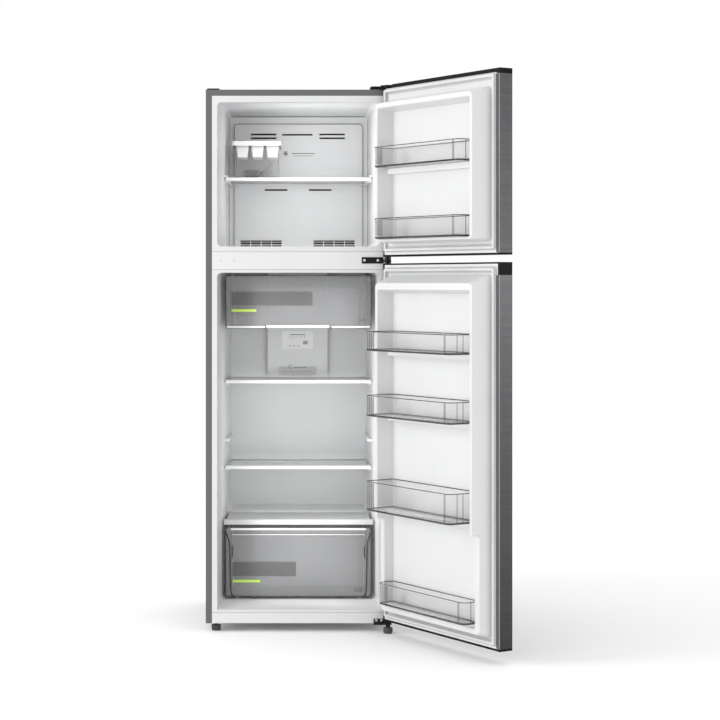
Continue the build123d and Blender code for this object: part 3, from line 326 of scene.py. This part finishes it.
finish = make_finishes()
seam_grey = grained("seam_grey", (0.075, 0.076, 0.078), (0.10, 0.101, 0.103), 0.6, 500, 0.00006, 0.0)
# Grey of the painted shade beside the door gaskets.
gasket_shade_grey = grained("gasket_shade_grey", (0.55, 0.553, 0.557), (0.52, 0.523, 0.53), 0.42, 420, 0.00005, 0.0)
grip_smoke = see_through("grip_smoke", (0.22, 0.222, 0.226), (0.28, 0.282, 0.286), 0.24, 0.8, rough=0.2)
label_white = grained("label_white", (0.90, 0.90, 0.905), (0.86, 0.86, 0.865), 0.5, 500, 0.00003, 0.0)
mark_grey = grained("mark_grey", (0.22, 0.222, 0.226), (0.28, 0.282, 0.286), 0.5, 500, 0.00003, 0.0)
lid_white = grained("lid_white", (0.56, 0.563, 0.567), (0.52, 0.523, 0.53), 0.4, 500, 0.00004, 0.0)
# Near-black painted shade along the edges, rims and ribs of clear plastic, where the plastic refracts shade.
painted_edge_shade = see_through("painted_edge_shade_plastic", (0.02, 0.02, 0.021), (0.035, 0.035, 0.036), 0.86, 0.99)
ink_grey = grained("printed_grey", (0.16, 0.16, 0.165), (0.20, 0.20, 0.205), 0.6, 600, 0.00002, 0.0)
ink_green = grained("printed_green", (0.42, 0.60, 0.10), (0.48, 0.66, 0.15), 0.55, 600, 0.00002, 0.0)
frosted = see_through("frosted_band", (0.12, 0.12, 0.123), (0.15, 0.15, 0.153), 0.44, 0.8, rough=0.4)
# Near-black painted shade for slots, sockets and grille openings.
slot_dark = grained("slot_shadow", (0.02, 0.02, 0.02), (0.035, 0.035, 0.035), 0.8, 300, 0.0001, 0.0)


WELD_GAP = 0.00002
USUAL_EASE = 0.5  # millimetres, like the values below
SOFT_EDGES = {
    "outer_case": 0.8, "kick_plate": 0, "mullion_cover": 0, "freezer_liner": 1.6, "fridge_liner": 1.6,
    "chiller_drawer": 0.6, "crisper_drawer": 0.6, "crisper_lid": 0.8, "air_duct": 1.2,
    "freezer_rear_cover": 0.6, "machine_cover": 0.3, "back_panel": 0.3,
}
SPECIAL_FINISH = {"crisper_lid": lid_white}


def dress_cad():
    """Every CAD node takes the finish of its slot, and its corners are eased."""
    for row in frame["record"]["subparts"]:
        name = row["node"]
        node = nodes[name]
        node.data.materials.clear()
        node.data.materials.append(SPECIAL_FINISH.get(name, finish[row["material_slot"]]))
        weld = node.modifiers.new("weld", "WELD")
        weld.merge_threshold = WELD_GAP
        width = SOFT_EDGES.get(name, USUAL_EASE)
        if width:
            ease = node.modifiers.new("ease", "BEVEL")
            ease.width = width * MM
            ease.segments = 2
            ease.limit_method = "ANGLE"
            ease.angle_limit = math.radians(40)
            ease.use_clamp_overlap = True
            ease.harden_normals = False
        even = node.modifiers.new("even_normals", "WEIGHTED_NORMAL")
        even.keep_sharp = False


# =========================== mesh helpers ===========================

SMOOTH_ANGLE = math.radians(35)
DEPTH = Vector((0, 1, 0))

# How thick a mark, band or slab of painted slot shade is, and how much its edge is eased.
FINE_PRINT = (0.0005, 0.0001)
PRINT = (0.0006, 0.0002)
BAND = (0.0007, 0.0002)
SLOT_SHADE_SLAB = (0.0008, 0.0002)


def put(name, bm, material, body):
    """Turns a bmesh into a piece that rides on a body and has a material slot."""
    bmesh.ops.remove_doubles(bm, verts=bm.verts, dist=1e-6)
    bmesh.ops.recalc_face_normals(bm, faces=bm.faces)
    mesh = bpy.data.meshes.new(name)
    bm.to_mesh(mesh)
    bm.free()
    mesh.materials.append(material)
    piece = bpy.data.objects.new(name, mesh)
    bpy.context.scene.collection.objects.link(piece)
    for polygon in mesh.polygons:
        polygon.use_smooth = True
    mesh.set_sharp_from_angle(angle=SMOOTH_ANGLE)
    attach(piece, body)
    return piece


def bridge(bm, rings):
    """Quads between successive closed rings of points with equal counts."""
    rows = [[bm.verts.new(p) for p in ring] for ring in rings]
    for low, high in zip(rows, rows[1:]):
        count = len(low)
        for i in range(count):
            j = (i + 1) % count
            bm.faces.new((low[i], low[j], high[j], high[i]))
    return rows


def rounded(x, y, radius, steps=6):
    """Points round a rectangle with rounded corners, as pairs."""
    corners = (
        (x[1] - radius, y[1] - radius, 0), (x[0] + radius, y[1] - radius, 90),
        (x[0] + radius, y[0] + radius, 180), (x[1] - radius, y[0] + radius, 270),
    )
    points = []
    for cx, cy, start in corners:
        for i in range(steps + 1):
            a = math.radians(start + 90 * i / steps)
            points.append((cx + radius * math.cos(a), cy + radius * math.sin(a)))
    return points


def turn(steps):
    """Angles evenly round a circle."""
    return [2 * math.pi * k / steps for k in range(steps)]


def slab(bm, outline, place, depth, ease):
    """A plate on a closed outline, with eased edges. place(a, b, d) gives a point at depth d."""
    centre_a = sum(a for a, _ in outline) / len(outline)
    centre_b = sum(b for _, b in outline) / len(outline)

    def ring(shrink, d):
        points = []
        for a, b in outline:
            away = Vector((a - centre_a, b - centre_b))
            reach = max(away.length, 1e-6)
            keep = (reach - shrink) / reach
            points.append(place(centre_a + away.x * keep, centre_b + away.y * keep, d))
        return points

    rows = bridge(bm, [ring(ease, 0), ring(0, ease), ring(0, depth - ease), ring(ease, depth)])
    bm.faces.new(rows[0][::-1])
    bm.faces.new(rows[-1])


def tube(bm, path, radius, closed=False, sides=8, up=Vector((0, 0, 1))):
    """A round bar along a path of points."""
    path = [Vector(p) for p in path]
    count = len(path)
    rings = []
    for i, point in enumerate(path):
        before = path[i - 1] if i or closed else point
        after = path[(i + 1) % count] if i < count - 1 or closed else point
        along = (after - before).normalized()
        across = along.cross(up)
        if across.length < 1e-4:
            across = along.cross(Vector((1, 0, 0)))
        across.normalize()
        other = along.cross(across).normalized()
        ring = []
        for a in turn(sides):
            ring.append(point + across * radius * math.cos(a) + other * radius * math.sin(a))
        rings.append(ring)
    if closed:
        rings.append(rings[0])
    rows = bridge(bm, rings)
    if not closed:
        bm.faces.new(rows[0][::-1])
        bm.faces.new(rows[-1])


def facing(y):
    """Places a point on an upright plane at y; depth goes towards the front."""
    return lambda x, z, d: (x, y - d, z)


def smooth_path(points, steps=5):
    """A Catmull-Rom path through the points."""
    points = [Vector(p) for p in points]
    ends = [points[0]] + points + [points[-1]]
    out = []
    for i in range(1, len(ends) - 2):
        p0, p1, p2, p3 = ends[i - 1:i + 3]
        for k in range(steps):
            t = k / steps
            out.append(0.5 * (2 * p1 + (p2 - p0) * t + (2 * p0 - 5 * p1 + 4 * p2 - p3) * t ** 2
                              + (3 * p1 - p0 - 3 * p2 + p3) * t ** 3))
    out.append(points[-1])
    return out


# =========================== the doors' own axes ===========================


def joint_named(name):
    return next(j for j in frame["joints"] if j["name"] == name)


DOOR_OPEN = math.radians(-joint_named("fridge_door_hinge")["range_deg"][0])
ALONG = Vector((-math.cos(DOOR_OPEN), -math.sin(DOOR_OPEN), 0))  # from the hinge to the door's free end
INWARD = Vector((-math.sin(DOOR_OPEN), math.cos(DOOR_OPEN), 0))  # out of the door's inner face


def span(node, direction):
    """How far a node reaches along a direction, lowest and highest."""
    reach = [direction.dot(v.co) for v in nodes[node].data.vertices]
    return min(reach), max(reach)


DOOR_START = span("fridge_door_skin", ALONG)[0]
DOOR_END = span("fridge_door_skin", ALONG)[1] - DOOR_START
DOOR_FACE = span("fridge_door_skin", INWARD)[1]
SEAM_WIDE, SEAM_END = 0.0168, 0.0022
# Where the painted highlight on the skin's fold lies, in from the door's free end.
FOLD_HIGHLIGHT_START, FOLD_HIGHLIGHT_END = 0.0021, 0.0006
# Grey bands of painted shade on the door's liner beside the gasket.
GASKET_SHADE_BANDS = ((0.0004, 0.0046), (0.0144, 0.0205))  # outside and inside the gasket, measured in from its edge
BORDER_PROUD, BORDER_EASE = 0.0005, 0.0002
SOCKET_SHADE_INSET, SOCKET_SHADE_HEIGHT = 0.0305, 0.0185
SOCKET_SHADE_HALF = (0.0034, 0.0028)


def on_door(u, v, z):
    """A point u along the door from its hinge end, v proud of its inner face, and z high."""
    return ALONG * (DOOR_START + u) + INWARD * (DOOR_FACE + v) + Vector((0, 0, z))


def frame_strip(bm, door, sections):
    """A closed frame round the door's inner face. Each section is how far in it lies and how proud."""
    low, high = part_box(door + "_gasket")
    reach_u = span(door + "_gasket", ALONG)[0] - DOOR_START
    rings = []
    for inset, v in sections:
        u = (reach_u + inset, DOOR_END - reach_u - inset)
        z = (low.z + inset, high.z - inset)
        outline = rounded(u, z, 0.0015 + max(0.0, 0.006 - inset / 2), 4)
        rings.append([on_door(a, v, b) for a, b in outline])
    bridge(bm, rings + [rings[0]])


def door_gasket(door):
    """The magnetic seal: a soft bellows on a narrow foot, with the magnet's square bead on top."""
    top = span(door + "_gasket", INWARD)[1] - DOOR_FACE
    bm = bmesh.new()
    profile = (
        (0.0053, 0.0002), (0.0066, 0.0030), (0.0052, 0.0046), (0.0050, top - 0.0026), (0.0058, top - 0.0006),
        (0.0070, top), (0.0118, top), (0.0132, top - 0.0008), (0.0137, top - 0.0030), (0.0134, 0.0046),
        (0.0122, 0.0030), (0.0132, 0.0002),
    )
    frame_strip(bm, door, profile)
    seal = put(door + "_seal", bm, finish["white_gasket"], door)
    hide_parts(door + "_gasket")


def paint_gasket_shade(door):
    """Painted shade on the door's liner: flat grey bands on both sides of the gasket."""
    bm = bmesh.new()
    for near, far in GASKET_SHADE_BANDS:
        flat = ((near + BORDER_EASE, BORDER_PROUD), (far - BORDER_EASE, BORDER_PROUD))
        frame_strip(bm, door, ((near, 0.0001), *flat, (far, 0.0001)))
    put(door + "_gasket_shade", bm, gasket_shade_grey, door)


def door_seam(door):
    """The dark seam beside the liner at the door's free edge, and a painted highlight along the fold of the skin
    next to it.
    """
    low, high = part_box(door + "_skin")
    height = (low.z + 0.001, high.z - 0.001)

    def place(u, z, d):
        return on_door(u, d, z)

    bm = bmesh.new()
    seam = rounded((DOOR_END - SEAM_WIDE, DOOR_END - SEAM_END), height, 0.0006, 2)
    slab(bm, seam, place, *PRINT)
    put(door + "_seam", bm, seam_grey, door)
    bm = bmesh.new()
    fold = rounded((DOOR_END - FOLD_HIGHLIGHT_START, DOOR_END - FOLD_HIGHLIGHT_END), height, 0.0005, 2)
    slab(bm, fold, place, 0.0008, 0.0003)
    put(door + "_fold_highlight", bm, finish["grey_plastic"], door)


def paint_gasket_socket_shade(door):
    """Dark discs of painted shade in the sockets on the liner's border, beside the gasket's outer corners."""
    low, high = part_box(door + "_gasket")
    half_u, half_z = SOCKET_SHADE_HALF
    centre_u = DOOR_END - SOCKET_SHADE_INSET
    bm = bmesh.new()
    for z in (low.z + SOCKET_SHADE_HEIGHT, high.z - SOCKET_SHADE_HEIGHT):
        ring = [(centre_u + half_u * math.cos(a), z + half_z * math.sin(a)) for a in turn(16)]
        slab(bm, ring, lambda u, h, d: on_door(u, BORDER_PROUD + d, h), *PRINT)
    put(door + "_gasket_socket_shade", bm, slot_dark, door)


# =========================== door bins ===========================

BIN_CORNER, BIN_BACK_CORNER = 0.020, 0.004
BIN_WALL = 0.0022


def bin_outline(u, v, inset):
    """The plan of a door bin: rounded at the front, nearly square at the back."""
    points = []
    front, back = BIN_CORNER, BIN_BACK_CORNER
    u0, u1 = u[0] + inset, u[1] - inset
    v0, v1 = v[0] + inset, v[1] - inset
    for cu, cv, radius, start in (
        (u1 - front, v1 - front, front, 0), (u0 + front, v1 - front, front, 90),
        (u0 + back, v0 + back, back, 180), (u1 - back, v0 + back, back, 270),
    ):
        for i in range(9):
            a = math.radians(start + 90 * i / 8)
            points.append((cu + radius * math.cos(a), cv + radius * math.sin(a)))
    return points


def grip_band(node, u, v, z0, z1):
    """The smoky grip near the hinge end of a bin's front."""
    bm = bmesh.new()
    outline = rounded((u[0] + 0.024, u[0] + 0.054), (z0 + 0.010, z1 - 0.006), 0.003)
    slab(bm, outline, lambda a, z, d: on_door(a, v[1] - 0.0004 - d, z), 0.0010, 0.0003)
    put(node + "_grip", bm, grip_smoke, node)


def bin_ribs(node, u, v, z0, z1):
    """Upright ribs at both ends of a bin's front, and on its end walls, drawn near-black as painted edge shade."""
    bm = bmesh.new()
    low, high = z0 + 0.006, z1 - 0.003
    front = v[1] - 0.0012
    near = [(u[0] + 0.020 + 0.011 * k, 0.0009) for k in range(4)]
    far = [(u[1] - 0.026, 0.0009), (u[1] - 0.021, 0.0006)]
    for at_u, radius in near + far:
        tube(bm, [on_door(at_u, front, low), on_door(at_u, front, high)], radius, up=ALONG)
    for at_u, back in ((u[1] - 0.0012, 0.030), (u[1] - 0.0012, 0.052), (u[0] + 0.0012, 0.030)):
        at_v = v[1] - back
        tube(bm, [on_door(at_u, at_v, low), on_door(at_u, at_v, high)], 0.0009, up=ALONG)
    put(node + "_ribs", bm, painted_edge_shade, node)


def make_bin(node):
    """A clear tray with drafted walls, a rolled rim, a thick foot, ribs and a grip; the rim, foot and ribs are
    near-black painted edge shade.
    """
    low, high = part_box(node)
    z0, z1 = low.z, high.z
    u = [x - DOOR_START for x in span(node, ALONG)]
    v = [x - DOOR_FACE for x in span(node, INWARD)]

    def ring(inset, z):
        return [on_door(a, b, z) for a, b in bin_outline(u, v, inset)]

    levels = (
        (0.0042, z0), (0.0012, z0 + 0.003), (0.0008, z0 + 0.012), (0.0, z1 - 0.004), (0.0, z1),
        (BIN_WALL, z1), (BIN_WALL, z1 - 0.004), (BIN_WALL + 0.0012, z0 + 0.006),
        (BIN_WALL + 0.004, z0 + 0.0035),
    )
    bm = bmesh.new()
    rows = bridge(bm, [ring(*level) for level in levels])
    bm.faces.new(rows[0][::-1])
    bm.faces.new(rows[-1])
    tray = put(node + "_tray", bm, finish["clear_plastic"], node)
    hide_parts(node)

    bm = bmesh.new()
    tube(bm, ring(0.0012, z1 - 0.0014), 0.0013, closed=True)
    put(node + "_rim", bm, painted_edge_shade, node)

    foot = ((0.0034, z0 + 0.0004), (0.0006, z0 + 0.0028), (0.0004, z0 + 0.0056), (0.0032, z0 + 0.0060))
    bm = bmesh.new()
    bridge(bm, [ring(*level) for level in (*foot, foot[0])])
    put(node + "_foot", bm, painted_edge_shade, node)
    bin_ribs(node, u, v, z0, z1)
    grip_band(node, u, v, z0, z1)


# =========================== interior details ===========================

COVER_STEP = 0.006  # how far the freezer's rear cover stands behind its own foot
FROST_MARK = (-0.044, 1.5645)
GRILLE_MIDDLES = (-0.1285, 0.1225)
GRILLE_LEAN = 0.3  # how far the grilles lean back for each metre of height


def temperature_panel():
    """The temperature setting's label on the duct, with a scale round the knob."""
    low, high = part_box("air_duct")
    knob_low, knob_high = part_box("temperature_slider")
    face = low.y
    middle = (low.x + high.x) / 2
    knob = (knob_low.z + knob_high.z) / 2
    ink = facing(face - 0.0011)
    bm = bmesh.new()
    label = rounded((middle - 0.054, middle + 0.054), (knob - 0.022, knob + 0.040), 0.004)
    slab(bm, label, facing(face), 0.0012, 0.0004)
    put("temperature_label", bm, label_white, "cabinet")
    bm = bmesh.new()
    for k in range(6):
        x = middle - 0.024 + 0.0095 * k
        tick = rounded((x - 0.0007, x + 0.0007), (knob + 0.016, knob + 0.022), 0.0005, 3)
        slab(bm, tick, ink, *FINE_PRINT)
    rule = rounded((middle - 0.027, middle + 0.027), (knob + 0.026, knob + 0.0285), 0.001, 3)
    slab(bm, rule, ink, *FINE_PRINT)
    for k in range(3):
        x = middle - 0.026 + 0.015 * k
        dash = rounded((x - 0.004, x + 0.004), (knob - 0.013, knob - 0.011), 0.0008, 3)
        slab(bm, dash, ink, *FINE_PRINT)
    put("temperature_scale", bm, ink_grey, "cabinet")


def dot_grille():
    """Rows of small holes low on the duct, drawn as grey dots of painted shade."""
    low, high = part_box("air_duct")
    middle = (low.x + high.x) / 2
    place = facing(low.y)
    rows, widest, pitch, half = 5, 20, 0.0066, 0.0017
    bm = bmesh.new()
    for row in range(rows):
        count = widest - abs(row - 2) * 2
        z = low.z + 0.010 + 0.0046 * row
        for k in range(count):
            x = middle + (k - (count - 1) / 2) * pitch
            dot = rounded((x - half, x + half), (z - half, z + half), 0.0016, 3)
            slab(bm, dot, place, *PRINT)
    put("duct_grille", bm, finish["grey_plastic"], "cabinet")


def duct_mark():
    """A plain open ring and a rule above the duct's holes."""
    low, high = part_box("air_duct")
    x0, z0 = (low.x + high.x) / 2 - 0.024, low.z + 0.046
    radius = 0.0058
    ring = []
    for k in range(16):
        a = math.radians(40 + 290 * k / 15)
        ring.append((x0 + radius * math.cos(a), low.y - 0.0008, z0 + radius * math.sin(a)))
    bm = bmesh.new()
    tube(bm, ring, 0.0008, sides=6, up=DEPTH)
    rule = rounded((x0 + 0.012, x0 + 0.056), (z0 - 0.003, z0 - 0.001), 0.0009, 3)
    slab(bm, rule, facing(low.y), *PRINT)
    put("duct_symbol", bm, ink_grey, "cabinet")


def freezer_mark():
    """A plain six-armed frost mark and two rules on the freezer's rear cover."""
    low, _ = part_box("freezer_rear_cover")
    face = low.y + COVER_STEP
    x0, z0 = FROST_MARK
    centre = Vector((x0, face - 0.0006, z0))
    bm = bmesh.new()
    for k in range(3):
        a = math.radians(60 * k)
        reach = Vector((math.cos(a), 0, math.sin(a))) * 0.009
        tube(bm, [centre - reach, centre + reach], 0.0017, sides=6, up=DEPTH)
    long_rule = rounded((x0 + 0.020, x0 + 0.102), (z0 - 0.0015, z0 + 0.0015), 0.0012, 3)
    short_rule = rounded((x0 + 0.028, x0 + 0.094), (z0 - 0.0095, z0 - 0.0078), 0.0007, 3)
    slab(bm, long_rule, facing(face), *PRINT)
    slab(bm, short_rule, facing(face), *PRINT)
    put("frost_mark", bm, mark_grey, "cabinet")


def paint_vent_slot_shade():
    """Dark slabs of painted shade in the openings of the rear cover's lower grilles, which lean back with its
    foot.
    """
    low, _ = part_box("freezer_rear_cover")
    rail = low.z + 0.0265
    bm = bmesh.new()

    def place(x, z, d):
        return (x, low.y + GRILLE_LEAN * (z - low.z) - 0.0002 - d, z)

    for middle in GRILLE_MIDDLES:
        for column in range(4):
            x = middle + (column - 1.5) * 0.036
            for rise in (0.0075, 0.0165):
                z = low.z + rise
                slot_shade_slab = rounded((x - 0.0165, x + 0.0165), (z - 0.0026, z + 0.0026), 0.0008, 3)
                slab(bm, slot_shade_slab, place, *SLOT_SHADE_SLAB)
        bar = rounded((middle - 0.072, middle + 0.072), (rail - 0.0008, rail + 0.0008), 0.0004, 3)
        slab(bm, bar, place, *SLOT_SHADE_SLAB)
    put("vent_slot_shade", bm, slot_dark, "cabinet")


def paint_slot_shade_sheet():
    """A dark sheet of painted shade behind the rear cover's slots."""
    low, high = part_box("freezer_rear_cover")
    bm = bmesh.new()
    outline = rounded((low.x + 0.030, high.x - 0.030), (low.z + 0.004, high.z - 0.030), 0.01)
    slab(bm, outline, facing(high.y + 0.0016), 0.0012, 0.0004)
    put("cover_slot_shade_sheet", bm, slot_dark, "cabinet")


def cover_bead():
    """The fine shadow line that frames the freezer's rear cover."""
    low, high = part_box("freezer_rear_cover")
    bm = bmesh.new()
    outline = rounded((low.x + 0.016, high.x - 0.016), (low.z + 0.006, high.z - 0.024), 0.014)
    path = [(x, low.y + COVER_STEP - 0.0003, z) for x, z in outline]
    tube(bm, path, 0.0011, closed=True, sides=6, up=DEPTH)
    put("cover_bead", bm, finish["grey_plastic"], "cabinet")


def drawer_marks(node, x, z, green_share):
    """A plain frosted band with a green rule under it, in place of any lettering."""
    low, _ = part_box(node)
    bm = bmesh.new()
    slab(bm, rounded(x, z, 0.0012), facing(low.y), *BAND)
    put(node + "_band", bm, frosted, node)
    bm = bmesh.new()
    width = (x[1] - x[0]) * green_share
    rule = rounded((x[0], x[0] + width), (z[0] - 0.021, z[0] - 0.012), 0.002)
    slab(bm, rule, facing(low.y), *BAND)
    put(node + "_green_rule", bm, ink_green, node)


def drawer_tag(node, x, z):
    """A small grey tag at the right end of a drawer's front."""
    low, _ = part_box(node)
    bm = bmesh.new()
    slab(bm, rounded(x, z, 0.001), facing(low.y), *BAND)
    put(node + "_tag", bm, ink_grey, node)


CRISPER_RIB = (  # share of the height, distance in from the drawer's edge
    (0.0, 0.026), (0.04, 0.019), (0.12, 0.0165), (0.5, 0.0145), (0.72, 0.0135), (0.80, 0.0115),
    (0.87, 0.006), (0.92, 0.0035),
)
CRISPER_SLIT = ((0.56, 0.0205), (0.61, 0.0225), (0.72, 0.0225))
OUTLINE_INSET = 0.0014


def inset_outline(low, high, corner):
    """The outline of a drawer's front, just inside its edge."""
    x = (low.x + OUTLINE_INSET, high.x - OUTLINE_INSET)
    z = (low.z + OUTLINE_INSET, high.z - OUTLINE_INSET)
    return rounded(x, z, corner)


def crisper_trim():
    """The dark line round the crisper's front and the curved ribs beside it, both near-black painted edge shade,
    and its bright grip.
    """
    low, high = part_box("crisper_drawer")
    line_y = low.y - 0.0004
    height = high.z - low.z
    edge = high.x - 0.0015
    bm = bmesh.new()
    tube(bm, [(x, line_y, z) for x, z in inset_outline(low, high, 0.012)], 0.0015, closed=True, up=DEPTH)
    for side in (-1, 1):
        rib = [
            (side * (edge - inward), line_y, low.z + 0.002 + height * share * 0.98)
            for share, inward in CRISPER_RIB
        ]
        tube(bm, smooth_path(rib), 0.0018, up=DEPTH)
        slit = [(side * (edge - inward), line_y, low.z + height * share) for share, inward in CRISPER_SLIT]
        tube(bm, smooth_path(slit), 0.0016, sides=6, up=DEPTH)
    put("crisper_outline", bm, painted_edge_shade, "crisper_drawer")
    top = high.z - 0.004
    grip = rounded((low.x + 0.018, high.x - 0.018), (top - 0.0075, top - 0.0015), 0.0028)
    crease = rounded((low.x + 0.022, high.x - 0.022), (top - 0.0235, top - 0.0215), 0.0009)
    bm = bmesh.new()
    slab(bm, grip, facing(low.y), 0.0016, 0.0006)
    slab(bm, crease, facing(low.y), 0.001, 0.0003)
    put("crisper_grip", bm, finish["white_trim"], "crisper_drawer")


def chiller_trim():
    """The dark line round the chiller's front, a near-black painted edge shade, and the bright lip with its grip.
    """
    low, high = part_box("chiller_drawer")
    line_y, lip_y = low.y + 0.0002, low.y + 0.001
    bm = bmesh.new()
    tube(bm, [(x, line_y, z) for x, z in inset_outline(low, high, 0.004)], 0.0013, closed=True, up=DEPTH)
    put("chiller_outline", bm, painted_edge_shade, "chiller_drawer")
    foot, top = low.z + 0.0015, low.z + 0.0080
    bm = bmesh.new()
    slab(bm, rounded((low.x + 0.004, -0.108), (foot, top), 0.002), facing(lip_y), 0.002, 0.0006)
    slab(bm, rounded((0.108, high.x - 0.004), (foot, top), 0.002), facing(lip_y), 0.002, 0.0006)
    slab(bm, rounded((-0.104, 0.100), (foot, top + 0.003), 0.003), facing(lip_y), 0.003, 0.0008)
    put("chiller_lip", bm, finish["white_trim"], "chiller_drawer")


def ice_bin_trim():
    """The ice bin's thick front edges, drawn as near-black painted edge shade, and the grip moulded into its
    front.
    """
    low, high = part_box("ice_bin")
    draft, edge = 0.003, 0.0035
    top, foot = high.z - 0.0015, low.z + 0.004
    front = low.y + 0.0005
    bm = bmesh.new()
    path = [
        (low.x + edge, front, top), (low.x + edge + draft, front + draft, foot),
        (high.x - edge - draft, front + draft, foot), (high.x - edge, front, top),
    ]
    tube(bm, path, 0.0007, closed=True, up=DEPTH)
    put("ice_bin_edges", bm, painted_edge_shade, "ice_bin")
    bm = bmesh.new()
    grip_x, grip_z = (low.x + 0.022, high.x - 0.023), (low.z + 0.004, low.z + 0.0235)
    slab(bm, rounded(grip_x, grip_z, 0.008), facing(low.y + 0.0028), 0.0022, 0.0008)
    put("ice_bin_grip", bm, finish["clear_plastic"], "ice_bin")
    bm = bmesh.new()
    strip_x, strip_z = (low.x + 0.055, high.x - 0.054), (low.z + 0.006, low.z + 0.019)
    slab(bm, rounded(strip_x, strip_z, 0.002), facing(low.y + 0.0007), *PRINT)
    put("ice_bin_strip", bm, grip_smoke, "ice_bin")


def shelf_clips(body):
    """Small grey end clips where a shelf rests on the liner."""
    low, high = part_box(body + "_trim")
    bm = bmesh.new()
    for side in (-1, 1):
        x = sorted((side * (high.x - 0.010), side * (high.x - 0.001)))
        slab(bm, rounded(x, (low.z + 0.001, high.z + 0.0035), 0.002), facing(low.y + 0.020), 0.008, 0.0008)
    put(body + "_clips", bm, finish["grey_plastic"], body)


def hole_plugs():
    """Snap-in plugs that fill the unused hinge holes on the bridge."""
    low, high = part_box("mullion_cover")
    middle = (low.z + high.z) / 2
    radius = 0.0042
    bm = bmesh.new()
    for x in (-0.250, -0.207):
        ring = [(x + radius * math.cos(a), middle + radius * math.sin(a)) for a in turn(20)]
        slab(bm, ring, facing(low.y), 0.0012, 0.0005)
    put("hinge_hole_plugs", bm, finish["white_gasket"], "cabinet")


def frame_seams():
    """The fine shadow lines where the liners' frames meet the bridge and the kick plate."""
    bridge_low, bridge_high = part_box("mullion_cover")
    _, kick_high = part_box("kick_plate")
    half = 0.0007
    x = (bridge_low.x + 0.0005, bridge_high.x - 0.0005)
    bm = bmesh.new()
    for z in (bridge_low.z, bridge_high.z, kick_high.z):
        slab(bm, rounded(x, (z - half, z + half), 0.0003, 2), facing(bridge_low.y), 0.0003, 0.0001)
    put("frame_seam_lines", bm, finish["grey_plastic"], "cabinet")


def corner_cap():
    """A low black cap over the spare hinge place on the cabinet's top."""
    low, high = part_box("outer_case")
    bm = bmesh.new()
    outline = rounded((low.x + 0.003, low.x + 0.044), (low.y + 0.006, low.y + 0.050), 0.006)
    slab(bm, outline, lambda x, y, d: (x, y, high.z + d), 0.0045, 0.0015)
    put("top_corner_cap", bm, finish["black_plastic"], "cabinet")


def lamp_cover():
    """The diffuser under the fridge's ceiling."""
    _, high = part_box("fridge_liner")
    top = high.z - 0.0017
    outline = rounded((-0.045, 0.045), (0.020, 0.048), 0.006)
    bm = bmesh.new()
    slab(bm, outline, lambda x, y, d: (x, y, top - d), 0.005, 0.002)
    put("lamp_cover", bm, finish["white_trim"], "cabinet")


# =========================== everything ===========================

make_camera()
make_studio()
make_floor()
dress_cad()
for door_bin in (
    "freezer_lower_bin", "freezer_upper_bin", "fridge_bottom_bin", "fridge_tall_bin", "fridge_middle_bin",
    "fridge_top_bin",
):
    make_bin(door_bin)
for door in ("freezer_door", "fridge_door"):
    door_gasket(door)
    paint_gasket_shade(door)
    door_seam(door)
    paint_gasket_socket_shade(door)
paint_slot_shade_sheet()
paint_vent_slot_shade()
temperature_panel()
dot_grille()
duct_mark()
freezer_mark()
cover_bead()
drawer_marks("chiller_drawer", x=(-0.217, 0.044), z=(1.0465, 1.0895), green_share=0.31)
drawer_tag("chiller_drawer", x=(0.193, 0.221), z=(0.994, 1.003))
drawer_marks("crisper_drawer", x=(-0.214, -0.009), z=(0.166, 0.211), green_share=0.44)
drawer_tag("crisper_drawer", x=(0.180, 0.204), z=(0.117, 0.126))
crisper_trim()
chiller_trim()
ice_bin_trim()
for shelf in ("freezer_shelf", "upper_shelf", "lower_shelf"):
    shelf_clips(shelf)
hole_plugs()
frame_seams()
corner_cap()
lamp_cover()
